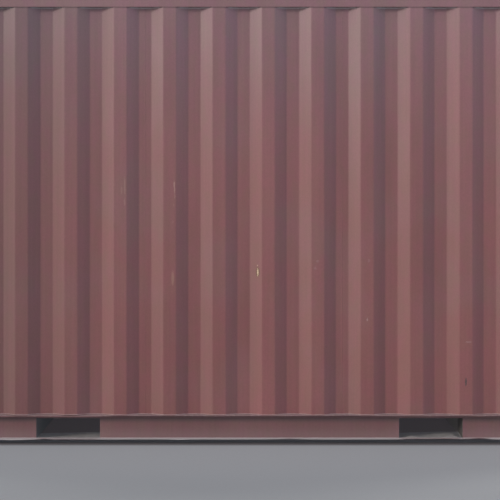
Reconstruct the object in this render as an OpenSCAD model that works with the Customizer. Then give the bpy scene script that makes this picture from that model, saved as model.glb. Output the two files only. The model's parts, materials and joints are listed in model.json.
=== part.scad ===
/* [Overall] */
// Length over the corner castings, along X
length = 6058; // [6058:1:6068]
// Width over the corner castings, along Y
width = 2438; // [2436:1:2440]
// Height over the corner castings, along Z
height = 2591; // [2500:1:2896]

/* [Corner castings] */
// Length of a corner casting along X
casting_l = 178; // [178:0.5:182]
// Width of a corner casting along Y
casting_w = 162; // [160:0.5:164]
// Height of a corner casting
casting_h = 118; // [116:0.5:120]
// Thickness of the plate with the twistlock slot
casting_plate = 28.5; // [26:0.5:31]
// Thickness of the two outer side walls and of the far plate
casting_wall = 16; // [12:0.5:18]
// Thickness of the two inner side walls
casting_inner_wall = 11; // [8:0.5:12]
// Distance of a twistlock slot's middle from the castings' end faces
slot_from_end = 102.5; // [98:0.5:104]
// Distance of a twistlock slot's middle from the castings' side faces
slot_from_side = 89.5; // [88:0.5:91]
// Length of a twistlock slot
slot_l = 124.5; // [120:0.5:126]
// Width of a twistlock slot
slot_w = 63.5; // [60:0.5:65]
// Length of the hole in the long side of a casting
side_hole_l = 79.5; // [75:0.5:82]
// Height of the hole in the long side of a casting
side_hole_h = 51; // [48:0.5:54]
// Width of the upright hole in the end of a casting
end_hole_w = 51; // [48:0.5:54]
// Height of the upright hole in the end of a casting
end_hole_h = 63.5; // [60:0.5:66]
// Distance of the side and end holes' middles from a casting's flat face
hole_rise = 62; // [60:0.5:63]

/* [Corner posts] */
// Plate thickness of the pressed posts
post_t = 6; // [5:0.5:8]
// Set-back of the posts and front rails from the castings' faces
post_inset = 3; // [2:0.5:4]
// Depth of the lip that the side wall meets
post_lip = 46; // [44:1:48]
// Set-back of the door end's frame from the castings' end faces
door_setback = 45; // [44:1:50]
// Width of the hot-rolled channel in a rear post
channel_w = 113; // [100:1:115]
// Plate thickness of that channel
channel_t = 12; // [8:0.5:12]

/* [Bottom rails] */
// Height of the bottom rails' underside above the castings' underside
rail_z = 20; // [12:0.5:22]
// Height of the bottom rails
rail_h = 144; // [142:1:154]
// Plate thickness of the bottom rails
rail_t = 4.5; // [3:0.5:6]
// Width of a side rail's upper flange
rail_top_flange = 48; // [46:1:50]
// Width of a side rail's lower flange
rail_low_flange = 40; // [25:1:48]
// Set-back of the side rails' flange edges from the castings' faces
rail_inset = 4; // [3:0.5:6]
// Depth of the front bottom rail
front_rail_d = 60; // [56:1:80]
// Depth of the door sill and the door header
sill_d = 120; // [100:1:140]

/* [Top rails] */
// Width of the top side rails
top_rail_w = 60; // [56:1:70]
// Height of the top side rails
top_rail_h = 100; // [60:1:110]
// Wall thickness of the top rails
top_rail_t = 3; // [2.5:0.5:4]
// Height of the roof sheet's underside below the castings' tops
roof_drop = 32; // [30:1:36]
// Height of the front top rail
front_top_rail_h = 60; // [50:1:100]

/* [Corrugated sheets] */
// Sheet thickness of the walls, the roof and the door panels
sheet_t = 2; // [1.6:0.1:2.5]
// Width of an outer face of the side walls
side_out = 72; // [70:0.5:74]
// Width of a slope of the side walls
side_slope = 68; // [64:0.5:70]
// Width of an inner face of the side walls
side_in = 70; // [66:0.5:72]
// Depth of the side walls' corrugation
side_depth = 36; // [30:0.5:37]
// Distance of the first outer face from the middle of the length
side_phase = 106; // [104:1:107]
// Set-back of the side walls' outer faces from the castings' faces
side_inset = 6; // [5:0.5:8]
// Set-back of the front wall's outer faces from the castings' faces
front_inset = 8; // [6:0.5:10]
// Width of an outer face of the front wall
front_out = 110; // [100:1:112]
// Width of a slope of the front wall
front_slope = 18; // [16:1:20]
// Width of an inner face of the front wall
front_in = 104; // [100:1:106]
// Depth of the front wall's corrugation
front_depth = 45.6; // [40:0.2:46]
// Distance between the roof's ribs
rib_pitch = 209; // [190:1:209]
// Height of a roof rib
rib_h = 20; // [12:1:22]
// Width of a rib's flat top
rib_top = 91; // [60:1:100]
// Width of a rib's slope
rib_slope = 15; // [10:1:20]
// Distance of the ribs' ends from the roof sheet's edges
rib_end = 89; // [70:1:200]
// Set-back of the roof sheet's edges from the rails' faces
roof_inset = 6; // [4:1:10]
// Thickness of the plates over the front top rail and over the door header
end_plate_t = 4; // [3:0.5:5]
// Length of a roof corner plate, along X from its casting
corner_plate_l = 250; // [150:5:260]
// Width of a roof corner plate beyond its casting, along Y
corner_plate_w = 130; // [100:5:200]
// Thickness of a roof corner plate
corner_plate_t = 3; // [2:0.5:4]

/* [Floor] */
// Thickness of the plywood floor
floor_t = 28; // [24:1:30]
// Height of the cross members
member_h = 122; // [100:1:122]
// Width of the cross members
member_w = 45; // [40:1:50]
// Plate thickness of the cross members
member_t = 4; // [3:0.5:5]
// Largest distance between two cross members
member_step = 280; // [250:5:320]
// Gap round the floor
floor_clear = 2; // [1:0.5:4]

/* [Fork pockets] */
// Distance between the pockets' middles
pocket_spacing = 2050; // [2040:10:2060]
// Clear width of a pocket
pocket_w = 360; // [350:1:366]
// Clear height of a pocket
pocket_h = 115; // [110:1:116]
// Height of a pocket's opening above the castings' underside
pocket_z = 24.5; // [24.5:0.5:28]
// Thickness of a pocket's roof plate
pocket_plate = 3; // [2.5:0.5:4]
// Thickness of a pocket's side webs and bottom straps
pocket_web = 6; // [4:0.5:6]
// Length of a pocket's bottom strap, in from the side rail
strap_l = 200; // [150:5:250]

/* [Doors] */
// Gap from the middle of the width to a leaf
leaf_gap = 7; // [5:0.5:9]
// Gap from a leaf to the posts
frame_gap = 15; // [12:0.5:18]
// Gap from a leaf to the sill and to the header
leaf_clear = 10; // [8:0.5:14]
// Set-back of a leaf's face from the door end's frame
leaf_recess = 8; // [6:0.5:12]
// Set-back of a leaf's panel from its bars
panel_recess = 2; // [1:0.5:3]
// Thickness of a door leaf
leaf_d = 50; // [45:1:55]
// Width of a leaf's upright bars
stile_w = 100; // [80:1:110]
// Height of a leaf's cross bars
bar_h = 150; // [120:1:160]
// Wall thickness of a leaf's bars
bar_t = 3; // [2.5:0.5:4]
// Number of grooves across a leaf's panel
grooves = 5; // [4:1:6]
// Width of a groove's floor
groove_in = 90; // [60:1:100]
// Width of a groove's slope
groove_slope = 40; // [30:1:45]
// Depth of a groove
groove_depth = 36; // [20:1:38]
// Depth of the rubber seals
seal_t = 30; // [20:1:36]
// Gap between a seal and what it closes on
seal_clear = 2; // [1:0.5:4]

/* [Hinges] */
// Number of hinges on a leaf
hinges = 4; // [3:1:5]
// Distance of the first and last hinge from the leaf's ends
hinge_end = 240; // [150:10:300]
// Distance of the hinge pins in front of the door end's frame
hinge_proud = 20; // [18:0.5:24]
// Distance of the hinge pins beside the opening
hinge_side = 10; // [8:0.5:14]
// Diameter of the hinge pins
pin_d = 16; // [14:1:18]
// Diameter of the rings round a hinge pin
knuckle_d = 28; // [26:1:32]
// Height of a hinge's blade
blade_h = 48; // [40:1:60]
// Thickness of a hinge's blade
blade_t = 10; // [8:0.5:12]
// Reach of a blade over its leaf, in from the edge
blade_l = 95; // [80:1:98]
// Height of a hinge's lug
lug_h = 20; // [15:1:25]
// Play between a pin and its bores, and between a blade and its lugs
hinge_play = 0.3; // [0.2:0.1:1]

/* [Door gear] */
// Diameter of the lock rods
rod_d = 34; // [30:1:34]
// Wall thickness of the lock rods
rod_t = 3; // [2:0.5:5]
// Distance of the rods' axes from the castings' end faces
rod_setback = 24; // [24:0.5:26]
// Distance of the inner lock rods from their leaf's inner edge
rod_from_gap = 253; // [230:1:270]
// Distance of the outer lock rods from their leaf's outer edge
rod_from_edge = 285; // [270:1:300]
// Play between a rod and what goes round it
rod_play = 0.5; // [0.3:0.1:1]
// Width of a rod's bracket
bracket_w = 90; // [70:1:100]
// Height of a rod's bracket
bracket_h = 70; // [60:1:80]
// Plate thickness of a rod's bracket
bracket_t = 5; // [4:0.5:6]
// Height of the ring in a rod's bracket and on a handle
ring_h = 44; // [36:1:50]
// Wall thickness of those rings
ring_t = 4.5; // [3.5:0.5:5]
// Height of a rod's cam
cam_h = 36; // [30:1:40]
// Thickness of a cam's inner prong
prong_in_t = 9; // [7:0.5:10]
// Thickness of a cam's outer prong
prong_out_t = 7; // [5:0.5:8]
// Gap between a cam and its keeper, and between a cam and the frame
cam_clear = 3; // [2:0.5:4]
// Height of a cam keeper
keeper_h = 70; // [60:1:80]
// Height of a keeper's jaws
jaw_h = 10; // [8:0.5:12]
// Thickness of the bar between a keeper's jaws
keeper_bar_t = 14; // [10:0.5:15]
// Reach of a cam's prongs from the rod's axis
prong_l = 60; // [50:1:70]
// Gap between a handle's tip and the next rod's axis
handle_gap = 120; // [100:5:160]
// Height of the inner handles above the panel's flat, and of the outer handles below it
handle_offset = 50; // [45:1:55]
// Thickness of a handle's bar
handle_t = 8; // [6:0.5:10]
// Height of a handle's bar at its ring
handle_h = 36; // [30:1:40]
// Height of a handle's bar at its tip
handle_tip_h = 26; // [20:1:30]
// Distance of a handle's catch from the handle's tip
catch_from_tip = 60; // [50:1:80]
// Width of a handle's catch
catch_w = 60; // [50:1:70]
// Gap round a handle in its catch
catch_clear = 4; // [3:0.5:6]

/* [Ventilators] */
// Length of a ventilator
vent_l = 240; // [220:5:250]
// Height of a ventilator
vent_h = 85; // [60:1:90]
// Thickness of a ventilator's cover
vent_t = 4; // [3:0.5:5]
// Depth of a ventilator's body in the wall's hollow
vent_depth = 20; // [10:1:24]
// Gap between a ventilator and the top rail
vent_drop = 27; // [20:1:60]
// Number of slots in a ventilator
vent_slots = 7; // [5:1:9]

/* [Hidden] */
$fn = 48;
eps = 1;

half_l = length / 2;
half_w = width / 2;

// Ends of the rails and walls, which meet the castings and posts there
span_x = half_l - casting_l;
span_y = half_w - casting_w;
post_z0 = casting_h;
post_z1 = height - casting_h;

// Heights of the rails
rail_top = rail_z + rail_h;
roof_z = height - roof_drop;
top_rail_z = roof_z - top_rail_h;

// Distances of the side rails and walls from the middle of the width
rail_y = half_w - rail_inset;
rail_web_y = rail_y - rail_top_flange;
side_y = half_w - side_inset;

// Distances of the end frames and walls from the middle of the length
front_x = half_l - post_inset;
front_wall_x = half_l - front_inset;
door_x = half_l - door_setback;
rod_x = half_l - rod_setback;

// Heights of the floor and of the pockets' roof plates
floor_z = pocket_z + pocket_h + pocket_plate;
member_z = floor_z - member_h;

// The walls' corrugation: its pitch, and the side walls' first and last outer faces that are whole
side_pitch = side_out + side_in + 2 * side_slope;
front_pitch = front_out + front_in + 2 * front_slope;
side_first = -floor((span_x + side_phase - side_out / 2 - side_slope) / side_pitch);
side_last = floor((span_x - side_phase - side_out / 2 - side_slope) / side_pitch);

// The roof sheet's edges, and its ribs on each side of the middle one
roof_y = rail_y - roof_inset;
rib_l = 2 * (roof_y - rib_end);
ribs_each = floor((span_x - corner_plate_l - rib_top / 2 - 2 * rib_slope) / rib_pitch);

// The opening between the rear channels, the sill and the header
opening_y = half_w - post_inset - post_lip;
leaf_y = opening_y - frame_gap;
leaf_z0 = rail_top + leaf_clear;
leaf_z1 = post_z1 - leaf_clear;
leaf_x = door_x - leaf_recess;
panel_x = leaf_x - panel_recess;
panel_z0 = leaf_z0 + bar_h;
panel_z1 = leaf_z1 - bar_h;
groove_pitch = (panel_z1 - panel_z0) / grooves;

// The hinges' axes and heights
hinge_x = door_x + hinge_proud;
hinge_y = opening_y + hinge_side;
hinge_step = (leaf_z1 - leaf_z0 - 2 * hinge_end) / (hinges - 1);
hinge_z = [for (i = [0 : hinges - 1]) leaf_z0 + hinge_end + i * hinge_step];

// The lock rods' places, their keepers and their handles
rod_inner_y = leaf_gap + rod_from_gap;
rod_outer_y = leaf_y - rod_from_edge;
keeper_low_z = rail_z + (rail_h - keeper_h) / 2;
keeper_high_z = post_z1 + (roof_z - post_z1 - keeper_h) / 2;
prong_in_x = door_x + cam_clear;
keeper_bar_x = prong_in_x + prong_in_t + cam_clear;
prong_out_x = keeper_bar_x + keeper_bar_t + cam_clear;
handle_l = rod_outer_y - rod_inner_y - handle_gap;
handle_x = rod_x + rod_d / 2 - 1.5 * handle_t;
handle_z = panel_z0 + floor(grooves / 2) * groove_pitch;
handle_inner_z = handle_z + handle_offset;
handle_outer_z = handle_z - handle_offset;

// Turns a shape built at the left front corner to the corner with the given signs
module at_corner(sx, sy) {
  mirror([sx > 0 ? 1 : 0, 0, 0])
    mirror([0, sy > 0 ? 1 : 0, 0])
      translate([-half_l, -half_w, 0])
        children();
}

// Mirrors a shape built on the right side to the left one
module on_side(sy) {
  mirror([0, sy < 0 ? 1 : 0, 0])
    children();
}

// A slot's outline, long along X
module slot_shape(l, w) {
  square([l - w, w], center = true);
  for (s = [-1, 1])
    translate([s * (l - w) / 2, 0])
      circle(d = w);
}

// A block from one corner to the opposite one
module block(a, b) {
  translate(a)
    cube(b - a);
}

// Outline of a bent sheet: each point has a place, a depth and the sense of the slope it ends
function sheet(path, t, shift) = concat(
  [for (p = path) [p[0], -p[1]]],
  [for (i = [len(path) - 1 : -1 : 0]) [path[i][0] + path[i][2] * shift, -path[i][1] - t]]
);

// How far a bend's inner corner moves along a sheet of this slope and depth
function bend_shift(slope, depth, t) = t * tan(atan(depth / slope) / 2);

// The four bends of an outward face, its middle at c
function outward(c, out, slope, depth) = [
  [c - out / 2 - slope, depth, 1],
  [c - out / 2, 0, 1],
  [c + out / 2, 0, -1],
  [c + out / 2 + slope, depth, -1]
];

// Corner castings

module casting() {
  difference() {
    cube([casting_l, casting_w, casting_h]);
    block(
      [casting_wall, casting_wall, casting_plate],
      [casting_l - casting_inner_wall, casting_w - casting_inner_wall, casting_h - casting_wall]
    );
    translate([slot_from_end, slot_from_side, -eps])
      linear_extrude(casting_plate + 2 * eps)
        slot_shape(slot_l, slot_w);
    translate([slot_from_end, -eps, hole_rise])
      rotate([-90, 0, 0])
        linear_extrude(casting_wall + 2 * eps)
          slot_shape(side_hole_l, side_hole_h);
    translate([-eps, slot_from_side, hole_rise])
      rotate([90, 0, 90])
        linear_extrude(casting_wall + 2 * eps)
          rotate(90)
            slot_shape(end_hole_h, end_hole_w);
  }
}

module bottom_corner_castings() {
  color("#6e4a4c")
    for (sx = [-1, 1], sy = [-1, 1])
      at_corner(sx, sy)
        casting();
}

module top_corner_castings() {
  color("#6e4a4c")
    for (sx = [-1, 1], sy = [-1, 1])
      at_corner(sx, sy)
        translate([0, 0, height])
          mirror([0, 0, 1])
            casting();
}

// Corner posts

module front_post(sy) {
  p = post_inset;
  q = post_inset + post_t;
  lip = post_inset + post_lip;
  color("#80585a")
    at_corner(-1, sy)
      translate([0, 0, post_z0])
        linear_extrude(post_z1 - post_z0)
          polygon([
            [p, p], [casting_l, p], [casting_l, lip], [casting_l - post_t, lip],
            [casting_l - post_t, q], [q, q], [q, casting_w - post_t],
            [lip + post_t, casting_w - post_t], [lip + post_t, casting_w], [p, casting_w]
          ]);
}

module front_left_post() {
  front_post(-1);
}

module front_right_post() {
  front_post(1);
}

module rear_post(sy) {
  p = post_inset;
  q = post_inset + post_t;
  lip = post_inset + post_lip;
  d = door_setback;
  color("#80585a")
    at_corner(1, sy)
      translate([0, 0, post_z0])
        linear_extrude(post_z1 - post_z0)
          polygon([
            [d, p], [casting_l, p], [casting_l, lip], [casting_l - post_t, lip],
            [casting_l - post_t, q], [d + post_t, q],
            [d + post_t, post_lip], [d, post_lip]
          ]);
}

module rear_left_post() {
  rear_post(-1);
}

module rear_right_post() {
  rear_post(1);
}

module rear_post_channels() {
  u0 = door_setback + post_t;
  u1 = u0 + channel_w;
  v0 = post_inset + post_t;
  v1 = post_inset + post_lip;
  t = channel_t;
  color("#755053")
    for (sy = [-1, 1])
      at_corner(1, sy)
        translate([0, 0, post_z0])
          linear_extrude(post_z1 - post_z0)
            polygon([
              [u0, v0], [u0 + t, v0], [u0 + t, v1 - t], [u1 - t, v1 - t],
              [u1 - t, v0], [u1, v0], [u1, v1], [u0, v1]
            ]);
}

// Bottom and top rails

module bottom_rail(sy) {
  t = rail_t;
  color("#6c5355")
    on_side(sy)
      difference() {
        translate([-span_x, rail_web_y, rail_z])
          rotate([90, 0, 90])
            linear_extrude(2 * span_x)
              polygon([
                [0, 0], [rail_low_flange, 0], [rail_low_flange, t], [t, t],
                [t, rail_h - t], [rail_top_flange, rail_h - t], [rail_top_flange, rail_h], [0, rail_h]
              ]);
        for (sx = [-1, 1])
          translate([sx * pocket_spacing / 2 - pocket_w / 2, rail_web_y - eps, pocket_z])
            cube([pocket_w, rail_t + 2 * eps, pocket_h]);
      }
}

module left_bottom_rail() {
  bottom_rail(-1);
}

module right_bottom_rail() {
  bottom_rail(1);
}

module top_rail(sy) {
  color("#836a6f")
    on_side(sy)
      translate([-span_x, rail_y - top_rail_w, top_rail_z])
        difference() {
          cube([2 * span_x, top_rail_w, top_rail_h]);
          translate([-eps, top_rail_t, top_rail_t])
            cube([2 * span_x + 2 * eps, top_rail_w - 2 * top_rail_t, top_rail_h - 2 * top_rail_t]);
        }
}

module left_top_rail() {
  top_rail(-1);
}

module right_top_rail() {
  top_rail(1);
}

module front_bottom_rail() {
  t = rail_t;
  d = front_rail_d;
  color("#6c5355")
    translate([-front_x, span_y, rail_z])
      rotate([90, 0, 0])
        linear_extrude(2 * span_y)
          polygon([
            [0, 0], [d, 0], [d, t], [t, t], [t, rail_h - t], [d, rail_h - t], [d, rail_h], [0, rail_h]
          ]);
}

module front_top_rail() {
  color("#836a6f")
    translate([-front_x, -span_y, roof_z - front_top_rail_h])
      difference() {
        cube([front_rail_d, 2 * span_y, front_top_rail_h]);
        translate([top_rail_t, -eps, top_rail_t])
          cube([front_rail_d - 2 * top_rail_t, 2 * span_y + 2 * eps, front_top_rail_h - 2 * top_rail_t]);
      }
}

module door_sill() {
  x0 = door_x - sill_d;
  color("#6c5355") {
    block([door_x - rail_t, -span_y, rail_z], [door_x, span_y, rail_top]);
    block([door_x - rail_t, -opening_y, post_z0], [door_x, opening_y, rail_top]);
    block([x0, -opening_y, rail_top - rail_t], [door_x, opening_y, rail_top]);
    block([door_x - sill_d / 2, -span_y, rail_z], [door_x, span_y, rail_z + rail_t]);
  }
}

module door_header() {
  x0 = door_x - sill_d;
  color("#80585a")
    difference() {
      block([x0, -span_y, post_z1], [door_x, span_y, roof_z]);
      block(
        [x0 + rail_t, -span_y - eps, post_z1 + rail_t],
        [door_x - rail_t, span_y + eps, roof_z - rail_t]
      );
    }
}

// Corrugated walls

module side_wall(sy) {
  shift = bend_shift(side_slope, side_depth, sheet_t);
  waves = [
    for (k = [side_first : side_last],
      p = outward(side_phase + k * side_pitch, side_out, side_slope, side_depth)) p
  ];
  next_out = side_phase + (side_last + 1) * side_pitch - side_out / 2;
  closing = next_out + shift < span_x
    ? [[next_out - side_slope, side_depth, 1], [next_out, 0, 1], [span_x, 0, 0]]
    : [[span_x, side_depth, 0]];
  path = concat([[-span_x, side_depth, 0]], waves, closing);
  color("#805a5e")
    on_side(sy)
      translate([0, side_y, rail_top])
        linear_extrude(top_rail_z - rail_top)
          polygon(sheet(path, sheet_t, shift));
}

module left_wall() {
  side_wall(-1);
}

module right_wall() {
  side_wall(1);
}

module front_wall() {
  shift = bend_shift(front_slope, front_depth, sheet_t);
  last = floor((span_y - front_out / 2) / front_pitch);
  all_bends = [
    for (k = [-last : last], p = outward(k * front_pitch, front_out, front_slope, front_depth)) p
  ];
  bends = [for (i = [2 : len(all_bends) - 3]) all_bends[i]];
  path = concat([[-span_y, 0, 0]], bends, [[span_y, 0, 0]]);
  color("#7d575b")
    translate([-front_wall_x, 0, rail_top])
      linear_extrude(roof_z - front_top_rail_h - rail_top)
        rotate(90)
          polygon(sheet(path, sheet_t, shift));
}

// A roof rib's body, in by the given distance from its outer surface
module rib_body(inside) {
  top = rib_top / 2 - inside;
  foot = top + rib_slope;
  l = rib_l / 2 - inside;
  h = rib_h - inside;
  low = inside > 0 ? -sheet_t - eps : -sheet_t / 2;
  grow = -low * rib_slope / h;
  intersection() {
    rotate([90, 0, 0])
      linear_extrude(rib_l + 2 * eps, center = true)
        polygon([[-foot - grow, low], [foot + grow, low], [top, h], [-top, h]]);
    rotate([90, 0, 90])
      linear_extrude(2 * (foot + rib_slope), center = true)
        polygon([[-l - grow, low], [l + grow, low], [l - rib_slope, h], [-l + rib_slope, h]]);
  }
}

module roof() {
  color("#7d5e62")
    difference() {
      union() {
        block([-span_x, -roof_y, roof_z], [span_x, roof_y, roof_z + sheet_t]);
        for (i = [-ribs_each : ribs_each])
          translate([i * rib_pitch, 0, roof_z + sheet_t])
            rib_body(0);
      }
      for (i = [-ribs_each : ribs_each])
        translate([i * rib_pitch, 0, roof_z + sheet_t])
          rib_body(sheet_t);
    }
}

// The plates that close the roof between the castings, over the front top rail and the door header
module roof_end_plates() {
  z1 = roof_z + end_plate_t;
  color("#7a5a5d") {
    block([-front_x + roof_inset, -span_y, roof_z], [-span_x, span_y, z1]);
    block([span_x, -span_y, roof_z], [door_x - roof_inset, span_y, z1]);
  }
}

// The plates beside the castings that take a misplaced lifting hook
module roof_corner_plates() {
  z = roof_z + sheet_t;
  edge = half_w - roof_y + corner_plate_t;
  color("#7a5a5d")
    for (sx = [-1, 1], sy = [-1, 1])
      at_corner(sx, sy)
        block(
          [casting_l, edge, z],
          [casting_l + corner_plate_l, casting_w + corner_plate_w, z + corner_plate_t]
        );
}

// Floor, cross members and fork pockets

module floor_boards() {
  x0 = -front_x + front_rail_d + floor_clear;
  x1 = door_x - sill_d - floor_clear;
  y1 = rail_web_y - floor_clear;
  color("#8a6f52")
    block([x0, -y1, floor_z], [x1, y1, floor_z + floor_t]);
}

module cross_member() {
  w = member_w;
  t = member_t;
  h = member_h;
  translate([-w / 2, rail_web_y, member_z])
    rotate([90, 0, 0])
      linear_extrude(2 * rail_web_y)
        polygon([[0, 0], [w, 0], [w, t], [t, t], [t, h - t], [w, h - t], [w, h], [0, h]]);
}

// Places of the cross members between two ends of a bay
function bay(a, b) = let (n = max(2, round((b - a) / member_step)))
  [for (i = [1 : n - 1]) a + i * (b - a) / n];

module cross_members() {
  pocket_half = pocket_w / 2 + pocket_web;
  inner = pocket_spacing / 2 - pocket_half;
  outer = bay(pocket_spacing / 2 + pocket_half, span_x);
  color("#5f4a4b") {
    for (x = bay(-inner, inner))
      translate([x, 0, 0])
        cross_member();
    for (sx = [-1, 1], x = outer)
      translate([sx * x, 0, 0])
        cross_member();
  }
}

module fork_pocket(sx) {
  half = pocket_w / 2;
  color("#5a4849")
    translate([sx * pocket_spacing / 2, 0, 0]) {
      block([-half - pocket_web, -rail_web_y, pocket_z + pocket_h], [half + pocket_web, rail_web_y, floor_z]);
      for (s = [-1, 1]) {
        translate([s * (half + pocket_web / 2), 0, (pocket_z + pocket_h + member_z) / 2])
          cube([pocket_web, 2 * rail_web_y, pocket_z + pocket_h - member_z], center = true);
        translate([0, s * (rail_web_y - strap_l / 2), pocket_z - pocket_web / 2])
          cube([pocket_w + 2 * pocket_web, strap_l, pocket_web], center = true);
      }
    }
}

module front_fork_pocket() {
  fork_pocket(-1);
}

module rear_fork_pocket() {
  fork_pocket(1);
}

// Door leaves

module door_frame(sy) {
  t = bar_t;
  x0 = leaf_x - leaf_d;
  color("#7b5357")
    on_side(sy)
      difference() {
        block([x0, leaf_gap, leaf_z0], [leaf_x, leaf_y, leaf_z1]);
        block([x0 - eps, leaf_gap + stile_w, panel_z0], [leaf_x + eps, leaf_y - stile_w, panel_z1]);
        for (y = [leaf_gap, leaf_y - stile_w])
          block([x0 + t, y + t, leaf_z0 - eps], [leaf_x - t, y + stile_w - t, leaf_z1 + eps]);
        for (z = [leaf_z0, panel_z1])
          block(
            [x0 - eps, leaf_gap + stile_w + t, z + t],
            [leaf_x - t, leaf_y - stile_w - t, z + bar_h - t]
          );
      }
}

module left_door_frame() {
  door_frame(-1);
}

module right_door_frame() {
  door_frame(1);
}

module door_panel(sy) {
  shift = bend_shift(groove_slope, groove_depth, sheet_t);
  half = groove_in / 2;
  bends = [
    for (i = [0 : grooves - 1], p = [
      [-half - groove_slope, 0, -1], [-half, groove_depth, -1],
      [half, groove_depth, 1], [half + groove_slope, 0, 1]
    ]) [panel_z0 + (i + 0.5) * groove_pitch + p[0], p[1], p[2]]
  ];
  path = concat([[panel_z0, 0, 0]], bends, [[panel_z1, 0, 0]]);
  color("#7b5357")
    on_side(sy)
      translate([panel_x, leaf_gap + stile_w, 0])
        rotate([0, -90, -90])
          linear_extrude(leaf_y - leaf_gap - 2 * stile_w)
            polygon(sheet(path, sheet_t, shift));
}

module left_door_panel() {
  door_panel(-1);
}

module right_door_panel() {
  door_panel(1);
}

module door_seal(sy) {
  x1 = leaf_x - bar_t - seal_clear;
  color("#2b2b2d")
    on_side(sy)
      difference() {
        block(
          [x1 - seal_t, seal_clear / 2, leaf_z0 - leaf_clear + seal_clear],
          [x1, leaf_y + frame_gap - seal_clear, leaf_z1 + leaf_clear - seal_clear]
        );
        block([x1 - seal_t - eps, leaf_gap, leaf_z0], [x1 + eps, leaf_y, leaf_z1]);
      }
}

module left_door_seal() {
  door_seal(-1);
}

module right_door_seal() {
  door_seal(1);
}

// Hinges

// Outline of a bar between two points
function bar_outline(p, q, w) = let (d = (q - p) / norm(q - p), n = [d[1], -d[0]] * w / 2)
  [p + n, q + n, q - n, p - n];

module hinge_blade() {
  foot = [leaf_x + 0.6 * blade_t, leaf_y - 2 * blade_t];
  difference() {
    linear_extrude(blade_h, center = true) {
      translate([leaf_x, leaf_y - blade_l])
        square([blade_t, blade_l - 1.5 * blade_t]);
      polygon(bar_outline(foot, [hinge_x, hinge_y], blade_t));
      translate([hinge_x, hinge_y])
        circle(d = knuckle_d);
    }
    translate([hinge_x, hinge_y, 0])
      cylinder(d = pin_d + 2 * hinge_play, h = blade_h + 2 * eps, center = true);
  }
}

module door_hinges(sy) {
  color("#6a4a4c")
    on_side(sy)
      for (z = hinge_z)
        translate([0, 0, z])
          hinge_blade();
}

module left_door_hinges() {
  door_hinges(-1);
}

module right_door_hinges() {
  door_hinges(1);
}

module hinge_lugs() {
  color("#6a4a4c")
    for (sy = [-1, 1], z = hinge_z, s = [-1, 1])
      on_side(sy)
        translate([0, 0, z + s * (blade_h / 2 + hinge_play + lug_h / 2)])
          difference() {
            linear_extrude(lug_h, center = true) {
              translate([door_x, hinge_y - 0.3 * knuckle_d])
                square([hinge_proud, 0.8 * knuckle_d]);
              translate([hinge_x, hinge_y])
                circle(d = knuckle_d);
            }
            translate([hinge_x, hinge_y, 0])
              cylinder(d = pin_d + 2 * hinge_play, h = lug_h + 2 * eps, center = true);
          }
}

module hinge_pins() {
  head_d = 1.5 * pin_d;
  head_h = 5;
  pin_l = blade_h + 2 * lug_h + 4 * hinge_play + head_h;
  color("#8b8b8a")
    for (sy = [-1, 1], z = hinge_z)
      on_side(sy)
        translate([hinge_x, hinge_y, z + pin_l / 2 - head_h / 2]) {
          cylinder(d = head_d, h = head_h);
          translate([0, 0, -pin_l])
            cylinder(d = pin_d, h = pin_l);
        }
}

// Lock rods and what holds them

// A rod's cam: two prongs that go behind and in front of its keeper's bar
module cam() {
  root_l = prong_l / 2;
  collar_t = 2;
  out = prong_out_x + prong_out_t - rod_x;
  linear_extrude(cam_h, center = true) {
    translate([prong_in_x - rod_x, 0])
      square([out - prong_in_x + rod_x, root_l]);
    translate([prong_in_x - rod_x, 0])
      square([prong_in_t, prong_l]);
    translate([prong_out_x - rod_x, 0])
      square([prong_out_t, prong_l]);
  }
  cylinder(d = rod_d + 2 * collar_t, h = keeper_h - jaw_h, center = true);
}

module lock_rod(y) {
  z0 = keeper_low_z + jaw_h / 2;
  z1 = keeper_high_z + keeper_h - jaw_h / 2;
  translate([rod_x, y, 0])
    difference() {
      union() {
        translate([0, 0, z0])
          cylinder(d = rod_d, h = z1 - z0);
        for (z = [keeper_low_z, keeper_high_z])
          translate([0, 0, z + keeper_h / 2])
            cam();
      }
      translate([0, 0, z0 - eps])
        cylinder(d = rod_d - 2 * rod_t, h = z1 - z0 + 2 * eps);
    }
}

module lock_rods(sy) {
  color("#9a9a98")
    on_side(sy)
      for (y = [rod_inner_y, rod_outer_y])
        lock_rod(y);
}

module left_lock_rods() {
  lock_rods(-1);
}

module right_lock_rods() {
  lock_rods(1);
}

module rod_bracket(face_x) {
  d = rod_d + 2 * rod_play;
  difference() {
    union() {
      block([face_x, -bracket_w / 2, -bracket_h / 2], [leaf_x + bracket_t, bracket_w / 2, bracket_h / 2]);
      block([leaf_x, -d / 2, -ring_h / 2], [rod_x, d / 2, ring_h / 2]);
      translate([rod_x, 0, 0])
        cylinder(d = d + 2 * ring_t, h = ring_h, center = true);
    }
    translate([rod_x, 0, 0])
      cylinder(d = d, h = 2 * ring_h, center = true);
  }
}

module rod_brackets(sy) {
  low = leaf_z0 + bar_h / 2;
  high = leaf_z1 - bar_h / 2;
  color("#6a4a4c")
    on_side(sy)
      for (y = [rod_inner_y, rod_outer_y]) {
        for (z = [low, high])
          translate([0, y, z])
            rod_bracket(leaf_x);
        for (i = [1, grooves - 1])
          translate([0, y, panel_z0 + i * groove_pitch])
            rod_bracket(panel_x);
      }
}

module left_rod_brackets() {
  rod_brackets(-1);
}

module right_rod_brackets() {
  rod_brackets(1);
}

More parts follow.
